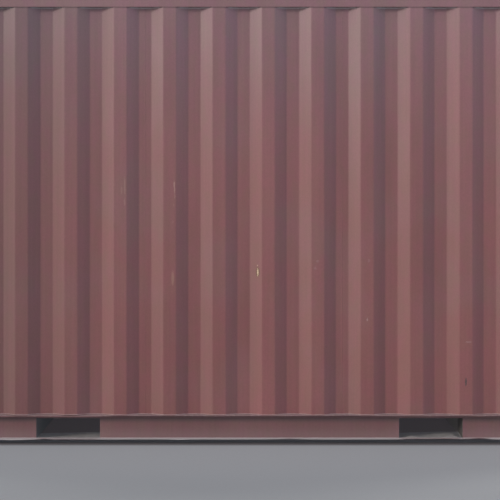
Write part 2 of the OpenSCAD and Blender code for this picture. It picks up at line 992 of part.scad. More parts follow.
// A handle that reaches from its rod along the leaf, in the direction s
module door_handle(s) {
  d = rod_d + 2 * rod_play;
  tip = handle_l - handle_tip_h / 2;
  difference() {
    union() {
      cylinder(d = d + 2 * ring_t, h = ring_h, center = true);
      translate([handle_x - rod_x, 0, 0])
        rotate([90, 0, 90])
          linear_extrude(handle_t)
            difference() {
              union() {
                polygon([
                  [0, -handle_h / 2], [s * handle_h, -handle_h / 2], [s * 2 * handle_h, -handle_tip_h / 2],
                  [s * tip, -handle_tip_h / 2], [s * tip, handle_tip_h / 2],
                  [s * 2 * handle_h, handle_tip_h / 2], [s * handle_h, handle_h / 2], [0, handle_h / 2]
                ]);
                translate([s * tip, 0])
                  circle(d = handle_tip_h);
              }
              translate([s * tip, 0])
                circle(d = handle_tip_h / 2);
            }
    }
    cylinder(d = d, h = 2 * ring_h, center = true);
  }
}

module door_handles(sy) {
  color("#9a9a98")
    on_side(sy) {
      translate([rod_x, rod_inner_y, handle_inner_z])
        door_handle(1);
      translate([rod_x, rod_outer_y, handle_outer_z])
        door_handle(-1);
    }
}

module left_door_handles() {
  door_handles(-1);
}

module right_door_handles() {
  door_handles(1);
}

// A catch that a handle's end rests in, with a lip in front and a hasp above
module catch() {
  wall = 5;
  plate_t = 7;
  plate_x = panel_x + plate_t;
  front_x = handle_x + handle_t + catch_clear;
  half_h = handle_tip_h / 2 + catch_clear;
  half_lip = catch_w / 3;
  half_hasp = catch_w / 4;
  block([panel_x, -catch_w / 2, -half_h - 2 * wall], [plate_x, catch_w / 2, half_h + 2 * wall]);
  block([plate_x, -half_lip, -half_h - wall], [front_x + wall, half_lip, -half_h]);
  block([front_x, -half_lip, -half_h], [front_x + wall, half_lip, half_h / 2]);
  block([plate_x, -half_hasp, half_h], [front_x, half_hasp, half_h + wall]);
}

module handle_catches() {
  color("#6a4a4c")
    for (sy = [-1, 1])
      on_side(sy) {
        translate([0, rod_inner_y + handle_l - catch_from_tip, handle_inner_z])
          catch();
        translate([0, rod_outer_y - handle_l + catch_from_tip, handle_outer_z])
          catch();
      }
}

// A keeper: two jaws on the frame, and the bar between them that the cam's prongs grip
module cam_keeper() {
  y0 = prong_l / 2 + cam_clear;
  y1 = prong_l;
  out = keeper_bar_x + keeper_bar_t;
  for (z = [0, keeper_h - jaw_h])
    block([door_x, y0, z], [out, y1, z + jaw_h]);
  block([keeper_bar_x, y0, jaw_h / 2], [out, y1 - cam_clear, keeper_h - jaw_h / 2]);
}

module cam_keepers(z) {
  color("#6a4a4c")
    for (sy = [-1, 1], y = [rod_inner_y, rod_outer_y])
      on_side(sy)
        translate([0, y, z])
          cam_keeper();
}

module header_cam_keepers() {
  cam_keepers(keeper_high_z);
}

module sill_cam_keepers() {
  cam_keepers(keeper_low_z);
}

// Ventilators, each across one hollow of a side wall

module vent() {
  step = vent_l / (vent_slots + 1);
  edge = 0.15 * vent_h;
  difference() {
    union() {
      block([-vent_l / 2, side_y, -vent_h / 2], [vent_l / 2, side_y + vent_t, vent_h / 2]);
      block([-vent_l / 4, side_y - vent_depth, edge - vent_h / 2], [vent_l / 4, side_y, vent_h / 2 - edge]);
    }
    for (i = [1 : vent_slots])
      translate([i * step - vent_l / 2, side_y + vent_t, 0])
        cube([0.4 * step, vent_t, vent_h - 2 * edge], center = true);
  }
}

module side_vents() {
  z = top_rail_z - vent_drop - vent_h / 2;
  color("#6f5557")
    for (sy = [-1, 1], i = [side_first, side_last - 1])
      on_side(sy)
        translate([side_phase + (i + 0.5) * side_pitch, 0, z])
          vent();
}

bottom_corner_castings();
top_corner_castings();
front_left_post();
front_right_post();
rear_left_post();
rear_right_post();
rear_post_channels();
left_bottom_rail();
right_bottom_rail();
left_top_rail();
right_top_rail();
front_bottom_rail();
front_top_rail();
door_sill();
door_header();
left_wall();
right_wall();
front_wall();
roof();
roof_end_plates();
roof_corner_plates();
floor_boards();
cross_members();
front_fork_pocket();
rear_fork_pocket();
left_door_frame();
right_door_frame();
left_door_panel();
right_door_panel();
left_door_seal();
right_door_seal();
left_door_hinges();
right_door_hinges();
hinge_lugs();
hinge_pins();
left_lock_rods();
right_lock_rods();
left_rod_brackets();
right_rod_brackets();
left_door_handles();
right_door_handles();
handle_catches();
header_cam_keepers();
sill_cam_keepers();
side_vents();
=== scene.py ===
"""Shipping container: materials, small pieces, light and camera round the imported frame.

Lengths are in metres and named angles in degrees. The photographed side is the one at -Y.
"""
import json
import math

import bmesh
import bpy
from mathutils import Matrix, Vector, noise


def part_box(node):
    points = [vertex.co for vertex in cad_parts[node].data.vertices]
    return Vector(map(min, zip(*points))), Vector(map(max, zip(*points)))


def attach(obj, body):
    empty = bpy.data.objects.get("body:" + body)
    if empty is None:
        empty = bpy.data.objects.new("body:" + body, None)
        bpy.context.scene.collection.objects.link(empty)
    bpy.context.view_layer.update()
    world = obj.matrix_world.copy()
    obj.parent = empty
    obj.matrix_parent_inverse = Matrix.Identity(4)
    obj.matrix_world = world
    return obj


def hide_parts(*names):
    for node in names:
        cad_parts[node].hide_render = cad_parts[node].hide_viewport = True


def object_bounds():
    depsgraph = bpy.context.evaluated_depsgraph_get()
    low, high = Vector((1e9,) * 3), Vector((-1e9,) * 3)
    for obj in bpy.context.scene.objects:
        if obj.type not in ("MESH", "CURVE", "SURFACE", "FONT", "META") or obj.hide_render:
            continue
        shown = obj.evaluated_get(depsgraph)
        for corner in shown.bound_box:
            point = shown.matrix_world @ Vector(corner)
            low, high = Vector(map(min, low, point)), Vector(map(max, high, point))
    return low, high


MM = 0.001

# Wall sheets: plate, folds, how far and how often the faces wander, and the corrugation's pitch
SHEET = 2 * MM
FOLD_RADIUS = 20 * MM
FOLD_STEPS = 4
FOLD_SHARE = 0.4
WALL_ROWS = 20
WALL_WAVE = 1.5 * MM
WALL_WAVES = (2.4, 2.4, 1.3)
CORRUGATION = 278 * MM

# Seams between a wall's sheets: a pixel column of one, their distance, and those of the front wall
SEAM_COLUMN = 145
SEAM_SPACING = 4 * CORRUGATION
FRONT_SEAMS = (-0.375, 0.375)
SEAM_END = 4 * MM
SEAM_SUNK = 1.2 * MM

# Bottom rails: plates, low flange, bent lip, waves, and the height that no dent goes below
RAIL_PLATE = 4.5 * MM
RAIL_LOW_FLANGE = 40 * MM
RAIL_LOW_RISE = 5.2 * MM
RAIL_LOW_PLATE = 2.8 * MM
RAIL_LIP = 6.2 * MM
RAIL_WAVE = 1.2 * MM
RAIL_WAVES = 3
RAIL_WAVE_SEEDS = {"top": 5.0, "low": 9.0}
RAIL_STEP = 22 * MM
RAIL_LOWEST = 12 * MM

# Corners of the bottom rail's outline at the foot and the head of the pockets' openings
FACE_FOOT, FACE_HEAD = 4, 5
WEB_HEAD, WEB_FOOT = 10, 11

# Fork pockets and their straps
POCKET_MIDDLE = 1.025
POCKET_WEB = 6 * MM
POCKET_FLOOR = 24.5 * MM
POCKET_ROOF = 139.5 * MM
POCKET_PLATE = 3 * MM
STRAP_LENGTH = 200 * MM
STRAP_WAVE = 0.8 * MM
STRAP_WAVES = 9
STRAP_ACROSS = 40
STRAP_DEEP = 10

# Weld beads: the radius and the step of each kind
BEADS = {
    "wall foot": (3.2 * MM, 7 * MM),
    "wall head": (1.8 * MM, 7 * MM),
    "wall seam": (2.2 * MM, 9 * MM),
    "post end": (4 * MM, 7 * MM),
    "bottom rail end": (3.5 * MM, 7 * MM),
    "top rail end": (3 * MM, 7 * MM),
    "roof side": (2.6 * MM, 11 * MM),
    "roof seam": (2.2 * MM, 10 * MM),
    "roof end": (2.8 * MM, 10 * MM),
    "roof plate": (2.4 * MM, 7 * MM),
}

# How a bead's radius wanders: waves a metre and share of each, and the sides of its tube
BEAD_RIPPLES = ((55, 0.25), (190, 0.1))
BEAD_SIDES = 6

# How far the beads at the ends of the rear posts reach in over the posts' rear faces
REAR_POST_RETURN = 44 * MM

# Roof: rib pitch, the seams' places in pitches, and how far its end beads reach from the middle
ROOF_PITCH = 209 * MM
ROOF_SEAMS = (-7.5, -2.5, 2.5, 7.5)
ROOF_SEAM_END = 8 * MM
ROOF_END_REACH = 1.05

# Bolts and rivets: radius and height, and the outline of a head as shares of both
BOLT = (6 * MM, 4 * MM)
RIVET = (3.5 * MM, 1.8 * MM)
HEAD_OUTLINE = ((1.0, 0.0), (1.0, 0.45), (0.8, 0.85), (0.4, 1.0))
HEAD_SIDES = 12

# Plates under the bolts, and how far bolts and rivets are from their plates' middles, ends or corners
BRACKET_PLATE = 5 * MM
BRACKET_BOLTS = (35 * MM, 23 * MM)
BLADE = 10 * MM
BLADE_BOLTS_IN = (16 * MM, 42 * MM)
BLADE_BOLT_RISE = 13 * MM
RIVET_INSET = (9 * MM, 7 * MM)

# The photograph: its scale at the wall's outer faces, its size, its middle column and its ground row
PIXEL = 5.626 * MM
PHOTO_SIZE = 500
PHOTO_MIDDLE = 249.5
PHOTO_GROUND = 444

# The camera: lens, sensor, distance from the wall's outer faces, and shift
LENS = 119
SENSOR = 36
CAMERA_DISTANCE = PIXEL * PHOTO_SIZE * LENS / SENSOR
CAMERA_SHIFT = -0.14

# The sky: its strength at the horizon and overhead, its light's colour on the left and the right, what
# gloss mirrors on the right, and the backdrop
SKY_LOW = 0.50
SKY_HIGH = 0.87
SKY_LEFT = (0.97, 0.92, 0.86)
SKY_RIGHT = (1.08, 1.22, 1.42)
SHINE_RIGHT = (1.30, 1.45, 1.75)
BACKDROP = (0.80, 0.81, 0.83)

# The floor: half its width, its colour, and the tints of its painted contact shadow and of the painted
# shade inside it
FLOOR_REACH = 80
FLOOR_COLOUR = (0.270, 0.275, 0.285)
FLOOR_CONTACT_SHADOW = (0.36, 0.305, 0.305)
FLOOR_UNDER_SHADE = (0.88, 0.69, 0.66)
FLOOR_ROUGH = 0.9
FLOOR_GLOSS = 0.1

# The painted contact shadow lies inside the container's outline and fades with the distance from there. The
# painted shade under it, and the painted light near it that turns darker far off, go by the distance beyond
# the outline, which is negative under the container
CONTACT_SHADOW_INSIDE = 18 * MM
CONTACT_SHADOW_FADE = (14 * MM, 94 * MM)
UNDER_SHADE_FADE = (-0.04, -0.22)
FLOOR_LIGHT_FADE = (0.05, 2.0)
FLOOR_NEAR_LIGHT = 1.17
FLOOR_FAR = 0.87

# Paint and dirt, some of it also painted haze, light and shade
PLAIN = (1.0, 1.0, 1.0)
WALL_LOW = (0.181, 0.0635, 0.062)
WALL_HIGH = (0.197, 0.100, 0.110)
RAIL_LOW = (0.136, 0.0590, 0.0605)
RAIL_HIGH = (0.205, 0.105, 0.115)
DOOR_LOW = (0.175, 0.058, 0.060)
ROOF = (0.165, 0.088, 0.088)
GEAR = (0.120, 0.050, 0.050)
UNDERSIDE = (0.172, 0.156, 0.150)
CHALK = (0.14, 0.13, 0.12)
COOLER = (1.03, 0.98, 1.03)
WARMER = (0.985, 1.03, 0.975)
# Painted haze of the photographed wall's greyer end
HAZE_GREY = (0.76, 0.82, 0.82)
# Dust, and in the photographed wall's hollows under its top rail painted light
DUST_AND_LIGHT = (0.38, 0.345, 0.34)
EDGE_DUST = (0.44, 0.38, 0.39)
# Grime, and under the bottom rails' lip a painted shadow
GRIME_AND_SHADE = (0.045, 0.035, 0.034)
RUST_DARK = (0.070, 0.025, 0.012)
RUST_LIGHT = (0.230, 0.085, 0.030)
RUST_RUN = (0.120, 0.048, 0.028)
PRIMER = (0.58, 0.42, 0.28)
OCHRE = (0.100, 0.050, 0.018)
BARE = (0.40, 0.31, 0.30)
SCUFF = (0.36, 0.235, 0.19)

# Steel, rubber, wood and plastic, with the depth of each one's grain
ROD_ZINC = (0.30, 0.30, 0.305)
PIN_ZINC = (0.40, 0.38, 0.36)
RUBBER = (0.022, 0.022, 0.024)
WOOD_DARK = (0.20, 0.115, 0.055)
WOOD_LIGHT = (0.34, 0.215, 0.115)
BOARD_LENGTH = 1.22
STEEL_SKIN = 0.1 * MM
RUBBER_SKIN = 0.1 * MM
WOOD_GRAIN = 0.3 * MM
PLASTIC_SKIN = 0.08 * MM

# The painted haze and sky reflection growing from the paint's foot to its head, its worn edges, and its
# fine and broad unevenness
HAZE_HEIGHT = 2.45
HAZE_POWER = 3.4
WORN_WIDTH = 6 * MM
PAINT_SKIN = 0.12 * MM
PAINT_BUCKLES = 4 * MM

# Streaks of the paint: noise scale, upright stretch, detail, seed, and share of light and dark
PAINT_STREAKS = (
    (9, 0.05, 3.0, 2, 0.04),
    (70, 0.018, 2.0, 9, 0.03),
)

# Dirt of the bottom rails and the painted shadow under their lip: the heights between which each kind
# grows, and where the pockets keep dust off
RAIL_DUST = (110 * MM, 30 * MM)
RAIL_FLANGE_DUST = (30.5 * MM, 28 * MM)
RAIL_LIP_DUST = (156.5 * MM, 158 * MM)
RAIL_SHADE_FOOT = (104 * MM, 135 * MM)
RAIL_SHADE_HEAD = (145.5 * MM, 137.5 * MM)
RAIL_FILM = (50 * MM, 120 * MM)
POCKET_CLEAN = (0.14, 0.21)

# Painted light and shade in the fork pockets: how far from the middle it falls off, and how bright it is on
# both sides
POCKET_FADE = (0.90, 1.00)
POCKET_INSIDE_LIGHT = 1.7
POCKET_MOUTH_SHADE = 0.46

# Painted light in the photographed wall's hollows under its top rail, a dark line on its outer faces there,
# and the painted shade of the walls' hollows, and how deep each kind lies from the outside
HOLLOW_LIGHT_HEIGHTS = (2.447, 2.459)
HOLLOW_LIGHT_DEPTHS = (9 * MM, 22 * MM)
FACE_LINE_HEIGHTS = (2.450, 2.454)
FACE_LINE_DEPTHS = (14 * MM, 7 * MM)
HOLLOW_SHADE_DEPTHS = (40 * MM, 9 * MM)

# Pixel columns between which that wall's greyer end, painted haze, turns plain
HAZE_COLUMNS = (-10, 160)

# Marks of the photographed side: paint, pixel column and row, half width, half height and strength
WALL_MARKS = (
    (OCHRE, 257.9, 272.0, 2.0, 4.6, 0.80),
    (PRIMER, 257.8, 272.4, 0.68, 3.8, 0.9),
    (PRIMER, 257.6, 265.6, 0.55, 0.7, 0.6),
    (GRIME_AND_SHADE, 466.0, 381.6, 0.9, 4.4, 0.9),
    (SCUFF, 174.2, 184.0, 0.65, 3.0, 0.55),
    (SCUFF, 174.6, 189.5, 0.65, 4.0, 0.42),
    (SCUFF, 174.9, 197.0, 0.6, 2.2, 0.25),
    (SCUFF, 124.7, 186.0, 0.8, 9.0, 0.22),
    (SCUFF, 121.6, 190.0, 0.8, 4.5, 0.18),
    (SCUFF, 124.6, 202.0, 0.8, 4.0, 0.20),
    (SCUFF, 173.6, 205.0, 0.7, 2.0, 0.15),
    (SCUFF, 173.0, 222.0, 0.8, 1.6, 0.15),
    (PRIMER, 172.7, 278.0, 1.4, 7.0, 0.12),
    (BARE, 367.3, 319.8, 0.75, 1.7, 0.4),
    (BARE, 468.5, 342.0, 3.2, 0.8, 0.2),
    (BARE, 317.6, 261.2, 1.4, 1.3, 0.16),
    (BARE, 315.3, 268.2, 1.4, 1.5, 0.14),
    (BARE, 368.9, 260.6, 1.2, 1.6, 0.12),
)

# Dents in the photographed rail: pixel column, which flange, drop and half length
RAIL_DENTS = (
    (6, "top", 5.0 * MM, 60 * MM),
    (31, "top", 2.5 * MM, 40 * MM),
    (120, "top", -2.0 * MM, 50 * MM),
    (215, "top", 2.0 * MM, 70 * MM),
    (345, "top", -2.0 * MM, 60 * MM),
    (478, "top", 2.5 * MM, 50 * MM),
    (12, "low", 4.0 * MM, 90 * MM),
    (180, "low", 2.0 * MM, 60 * MM),
    (290, "low", -2.0 * MM, 70 * MM),
    (480, "low", -5.0 * MM, 55 * MM),
    (44, "low", -3.0 * MM, 28 * MM),
    (412, "low", -2.0 * MM, 60 * MM),
    (440, "low", -3.0 * MM, 150 * MM),
    (67, "top", 5.4 * MM, 200 * MM),
    (432, "top", 1.2 * MM, 150 * MM),
)

# Rise of the photographed straps' front and rear edges, in millimetres at pixel columns across the opening
STRAP_BENDS = {
    "front_fork_pocket": (
        ((35, 0.0), (44, 3.0), (56, 0.5), (75, 0.0), (99, 1.0)),
        ((35, -1.0), (60, 1.5), (99, 6.0)),
    ),
    "rear_fork_pocket": (
        ((400, -3.0), (412, 11.0), (425, 2.0), (440, 3.5), (455, 12.0), (464, -3.0)),
        ((400, 0.0), (425, 5.0), (445, 8.0), (464, 8.0)),
    ),
}

# Sharp edges of CAD nodes that modifiers round: width, segments and nodes
SOFT_EDGES = (
    (4 * MM, 3, ("bottom_corner_castings", "top_corner_castings")),
    (2.5 * MM, 2, ("front_left_post", "front_right_post", "rear_left_post", "rear_right_post")),
    (1.4 * MM, 2, ("left_top_rail", "right_top_rail", "front_top_rail")),
    (1.2 * MM, 2, ("left_door_frame", "right_door_frame")),
    (0.8 * MM, 1, ("left_lock_rods", "right_lock_rods", "left_door_handles", "right_door_handles")),
    (1.2 * MM, 1, ("left_rod_brackets", "right_rod_brackets")),
    (1.2 * MM, 1, ("left_door_hinges", "right_door_hinges", "hinge_lugs")),
)
SOFT_ANGLE = 50
SAME_PLACE = 0.01 * MM

# Lamps: side, elevation, strength, spread, colour and whether they cast a shadow
LAMPS = {
    "key_light": (-58, 17.5, 2.05, 14, (1.0, 0.95, 0.87), True),
    "door_light": (120, 25, 1.8, 14, (1.0, 0.97, 0.92), True),
    "front_light": (238, 25, 1.1, 14, (1.0, 0.97, 0.92), True),
    "left_fill": (-28, 24, 0.45, 1, (0.95, 0.98, 1.04), False),
    "right_fill": (62, 24, 0.45, 1, (0.74, 0.96, 1.20), False),
}

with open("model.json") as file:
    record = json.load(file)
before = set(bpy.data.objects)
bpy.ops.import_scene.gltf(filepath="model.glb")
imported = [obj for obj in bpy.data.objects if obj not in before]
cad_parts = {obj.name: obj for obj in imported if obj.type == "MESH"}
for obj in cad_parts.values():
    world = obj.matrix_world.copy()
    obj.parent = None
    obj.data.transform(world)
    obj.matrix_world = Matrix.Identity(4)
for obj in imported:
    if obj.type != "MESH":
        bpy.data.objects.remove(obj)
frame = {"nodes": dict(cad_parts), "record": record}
cad_low, cad_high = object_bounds()
nodes = frame["nodes"]

# Each side's sign in y, the nodes that don't wear their slot's material, and each wall's axis and sign
SIDES = {"left": -1, "right": 1}
OWN_PAINT = {"left_wall": "photo_wall", "left_top_rail": "top_rail_paint"}
WALLS = (("left_wall", 1, -1), ("right_wall", 1, 1), ("front_wall", 0, -1))


def photo_x(pixel):
    """The place along the container of a pixel column of the photograph."""
    return (pixel - PHOTO_MIDDLE) * PIXEL


def photo_z(pixel):
    """The height of a pixel row of the photograph."""
    return (PHOTO_GROUND - pixel) * PIXEL


# Shader nodes

class Shader:
    """A material's node tree, with short calls that add nodes to it."""

    def __init__(self, name):
        self.material = bpy.data.materials.new(name)
        self.material.use_nodes = True
        self.tree = self.material.node_tree
        self.surface = self.tree.nodes["Principled BSDF"]
        self.place = self.add("ShaderNodeTexCoord").outputs["Object"]
        self.facing = self.add("ShaderNodeNewGeometry").outputs["Normal"]
        self.height = self.part(self.place, "Z")

    def add(self, kind, **settings):
        made = self.tree.nodes.new(kind)
        for key, value in settings.items():
            setattr(made, key, value)
        return made

    def feed(self, socket, value):
        """Links an output to a socket, or sets the socket to a plain value."""
        if isinstance(value, bpy.types.NodeSocket):
            self.tree.links.new(value, socket)
        elif hasattr(value, "__len__") and socket.type == "RGBA":
            socket.default_value = (*value, 1.0)
        else:
            socket.default_value = value

    def part(self, vector, axis):
        split = self.add("ShaderNodeSeparateXYZ")
        self.feed(split.inputs[0], vector)
        return split.outputs[axis]

    def off(self, axis):
        """How far the point is from the container's middle along that axis."""
        return self.math("ABSOLUTE", self.part(self.place, axis))

    def math(self, operation, first, second=0.0):
        made = self.add("ShaderNodeMath", operation=operation)
        self.feed(made.inputs[0], first)
        self.feed(made.inputs[1], second)
        return made.outputs[0]

    def both(self, first, second):
        """The product of two shares."""
        return self.math("MULTIPLY", first, second)

    def vector(self, operation, first, second=None):
        made = self.add("ShaderNodeVectorMath", operation=operation)
        self.feed(made.inputs[0], first)
        if second is not None:
            self.feed(made.inputs[1], second)
        return made.outputs

    def ramp(self, value, low, high, start=0.0, end=1.0):
        """Goes smoothly from start to end as the value goes from low to high."""
        made = self.add("ShaderNodeMapRange", interpolation_type="SMOOTHSTEP")
        for i, number in enumerate((value, low, high, start, end)):
            self.feed(made.inputs[i], number)
        return made.outputs[0]

    def noise(self, scale, stretch=(1, 1, 1), detail=3.0, rough=0.5, seed=0.0):
        """Noise with features about 1 / scale metres wide, longer where stretch is small."""
        moved = self.add("ShaderNodeMapping")
        self.feed(moved.inputs["Vector"], self.place)
        moved.inputs["Location"].default_value = (seed, 1.7 * seed, -seed)
        moved.inputs["Scale"].default_value = stretch
        made = self.add("ShaderNodeTexNoise")
        self.feed(made.inputs["Vector"], moved.outputs[0])
        made.inputs["Scale"].default_value = scale
        made.inputs["Detail"].default_value = detail
        made.inputs["Roughness"].default_value = rough
        return made.outputs["Fac"]

    def mix(self, share, first, second, blend="MIX"):
        made = self.add("ShaderNodeMix", data_type="RGBA", blend_type=blend)
        self.feed(made.inputs[0], share)
        self.feed(made.inputs[6], first)
        self.feed(made.inputs[7], second)
        return made.outputs[2]

    def times(self, colour, factor):
        return self.mix(1.0, colour, factor, "MULTIPLY")

    def vary(self, colour, value, low, high, dark, light):
        """Multiplies the colour by dark to light as the value goes from low to high."""
        return self.times(colour, self.ramp(value, low, high, dark, light))

    def sway(self, colour, pattern, share):
        """Darkens and lightens the colour by that share as the noise goes down and up."""
        return self.vary(colour, pattern, 0.3, 0.7, 1 - share, 1 + share)

    def bump(self, height, distance, under=None):
        made = self.add("ShaderNodeBump")
        self.feed(made.inputs["Height"], height)
        made.inputs["Strength"].default_value = 1.0
        made.inputs["Distance"].default_value = distance
        if under is not None:
            self.feed(made.inputs["Normal"], under)
        return made.outputs[0]

    def edges(self, radius):
        """1 along sharp edges, 0 on flat faces."""
        rounded = self.add("ShaderNodeBevel", samples=4)
        rounded.inputs["Radius"].default_value = radius
        dot = self.vector("DOT_PRODUCT", rounded.outputs[0], self.facing)
        return self.ramp(dot["Value"], 0.985, 0.86)

    def finish(self, colour, rough, normal=None, metal=0.0, gloss=0.5):
        self.feed(self.surface.inputs["Base Color"], colour)
        self.feed(self.surface.inputs["Roughness"], rough)
        self.feed(self.surface.inputs["Metallic"], metal)
        self.feed(self.surface.inputs["Specular IOR Level"], gloss)
        if normal is not None:
            self.feed(self.surface.inputs["Normal"], normal)
        return self.material


# Layers of the paint

def base_with_haze(s, low, high, cloud, streaks):
    """Oxide paint, low at the foot and high at the head, with clouds, streaks, tints and a fine grain. Its
    paler, bluer head is painted haze and sky reflection.
    """
    height = s.math("DIVIDE", s.math("MAXIMUM", s.height, 0.0), HAZE_HEIGHT)
    colour = s.mix(s.math("POWER", height, HAZE_POWER), low, high)
    colour = s.sway(colour, cloud, 0.06)
    chalky = s.ramp(s.noise(3.1, (1, 1, 0.8), 3.0, seed=5), 0.42, 0.72, 0.0, 0.16)
    colour = s.mix(chalky, colour, s.mix(0.5, high, CHALK))
    for scale, stretch, detail, seed, share in PAINT_STREAKS:
        colour = s.sway(colour, s.noise(scale, (1, 1, stretch), detail, seed=seed), share * streaks)
    tint = s.ramp(s.noise(17, (1, 1, 0.6), 2.0, seed=21), 0.35, 0.65)
    colour = s.times(colour, s.mix(tint, COOLER, WARMER))
    return s.sway(colour, s.noise(120, detail=4.0, rough=0.6), 0.05)


def mark(s, colour, paint_colour, column, row, half_w, half_h, share):
    """A small mark of the photographed side, from its pixel place and half sizes."""
    away = s.vector("SUBTRACT", s.place, (photo_x(column), 0, photo_z(row)))
    inverse = (1 / (half_w * PIXEL), 0, 1 / (half_h * PIXEL))
    scaled = s.vector("MULTIPLY", away[0], inverse)
    reach = s.vector("LENGTH", scaled[0])["Value"]
    ragged = s.math("ADD", reach, s.ramp(s.noise(260, seed=column), 0.3, 0.7, -0.35, 0.35))
    return s.mix(s.ramp(ragged, 1.1, 0.8, 0.0, share), colour, paint_colour)


def rust_grains(s):
    return s.mix(s.ramp(s.noise(160, seed=4), 0.35, 0.65), RUST_DARK, RUST_LIGHT)


def rusted(s, colour, rust):
    """Rust spots in clusters, with a stain round them where the paint rusts at all."""
    spots = s.noise(38, detail=6.0, rough=0.65, seed=3)
    clusters = s.ramp(s.noise(2.2, detail=2.0, seed=7), 0.45, 0.75, -0.10, 0.06)
    patches = s.math("ADD", spots, clusters)
    begins = 0.74 - 0.16 * rust
    if rust > 0:
        colour = s.mix(s.ramp(patches, begins - 0.08, begins, 0.0, 0.45), colour, RUST_RUN)
    return s.mix(s.ramp(patches, begins, begins + 0.06), colour, rust_grains(s))


def aged(s, colour, age):
    """Rust runs, soot, scrapes and a rusty foot."""
    runs = s.ramp(s.noise(34, (1, 1, 0.035), 4.0, 0.6, seed=31), 0.56, 0.74)
    reach = s.ramp(s.noise(2.6, (1, 1, 0.5), 2.0, seed=33), 0.42, 0.66, 0.0, 0.55 * age)
    colour = s.mix(s.both(runs, reach), colour, RUST_RUN)
    soot = s.ramp(s.noise(4.5, (1, 1, 0.35), 5.0, 0.6, seed=35), 0.45, 0.75, 0.0, 0.30 * age)
    colour = s.mix(soot, colour, GRIME_AND_SHADE)
    scrapes = s.ramp(s.noise(26, (0.16, 0.16, 3.2), 3.0, 0.55, seed=37), 0.70, 0.76)
    where = s.ramp(s.noise(1.3, detail=2.0, seed=39), 0.48, 0.60, 0.0, 0.5 * age)
    colour = s.mix(s.both(scrapes, where), colour, SCUFF)
    ragged = s.ramp(s.noise(14, detail=4.0, seed=41), 0.3, 0.7, -0.1, 0.1)
    foot = s.ramp(s.math("ADD", s.height, ragged), 0.42, 0.06)
    return s.mix(s.both(foot, 0.30 * age), colour, RUST_RUN)


def worn(s, colour, wear, under):
    """Edges rubbed through to what is under the paint."""
    rubbed = s.ramp(s.noise(45, detail=4.0, seed=11), 0.62 - 0.3 * wear, 0.72)
    return s.mix(s.both(s.both(s.edges(WORN_WIDTH), rubbed), wear), colour, under)


def rail_dirt_and_shade(s, colour):
    """Dust low on a bottom rail and on its edges, less of it at the pockets, and a painted shadow under its
    lip.
    """
    colour = s.mix(s.ramp(s.height, *RAIL_DUST, 0.0, 0.085), colour, DUST_AND_LIGHT)
    from_pocket = s.math("ABSOLUTE", s.math("SUBTRACT", s.off("X"), POCKET_MIDDLE))
    kept = s.ramp(from_pocket, *POCKET_CLEAN, 0.45, 1.0)
    flange = s.both(kept, s.ramp(s.height, *RAIL_FLANGE_DUST, 0.0, 0.88))
    lip = s.ramp(s.height, *RAIL_LIP_DUST, 0.0, 0.13)
    colour = s.mix(s.math("MAXIMUM", flange, lip), colour, EDGE_DUST)
    # Painted shadow under the lip
    lip_shade = s.both(s.ramp(s.height, *RAIL_SHADE_FOOT), s.ramp(s.height, *RAIL_SHADE_HEAD))
    return s.mix(s.both(lip_shade, 0.50), colour, GRIME_AND_SHADE)


def from_outside(s, depths, start, end):
    """Goes from start to end between two depths under the side walls' outer faces."""
    first, last = depths
    return s.ramp(s.off("Y"), cad_high.y - first, cad_high.y - last, start, end)


def hollow_shade(s, colour):
    """A corrugated wall's hollows a little darker than its outer faces."""
    return s.times(colour, from_outside(s, HOLLOW_SHADE_DEPTHS, 0.965, 1.02))


def photo_wall_painted_light(s, colour):
    """Painted shade in the hollows and painted light in them under the top rail, a dark line on the outer
    faces there, and a greyer end of painted haze.
    """
    colour = hollow_shade(s, colour)
    # Painted light in the hollows under the top rail
    lifted_hollows = from_outside(s, HOLLOW_LIGHT_DEPTHS, 0.0, 0.75)
    colour = s.mix(s.both(s.ramp(s.height, *HOLLOW_LIGHT_HEIGHTS), lifted_hollows), colour, DUST_AND_LIGHT)
    outside = from_outside(s, FACE_LINE_DEPTHS, 0.0, 0.30)
    colour = s.mix(s.both(s.ramp(s.height, *FACE_LINE_HEIGHTS), outside), colour, GRIME_AND_SHADE)
    # The greyer end is painted haze
    first, last = (photo_x(column) for column in HAZE_COLUMNS)
    plainer = s.ramp(s.part(s.place, "X"), first, last)
    return s.times(colour, s.mix(plainer, HAZE_GREY, PLAIN))


def pocket_painted_light(s, colour):
    """Painted light and shade on the pocket's faces that look to -X: paler inside and darker at the mouth.
    """
    # Painted light deep inside, painted shade at the mouth
    inwards = s.ramp(s.off("Y"), *POCKET_FADE, POCKET_INSIDE_LIGHT, POCKET_MOUTH_SHADE)
    turned = s.ramp(s.part(s.facing, "X"), -0.4, -0.8)
    return s.mix(turned, colour, s.times(colour, inwards))


# Materials

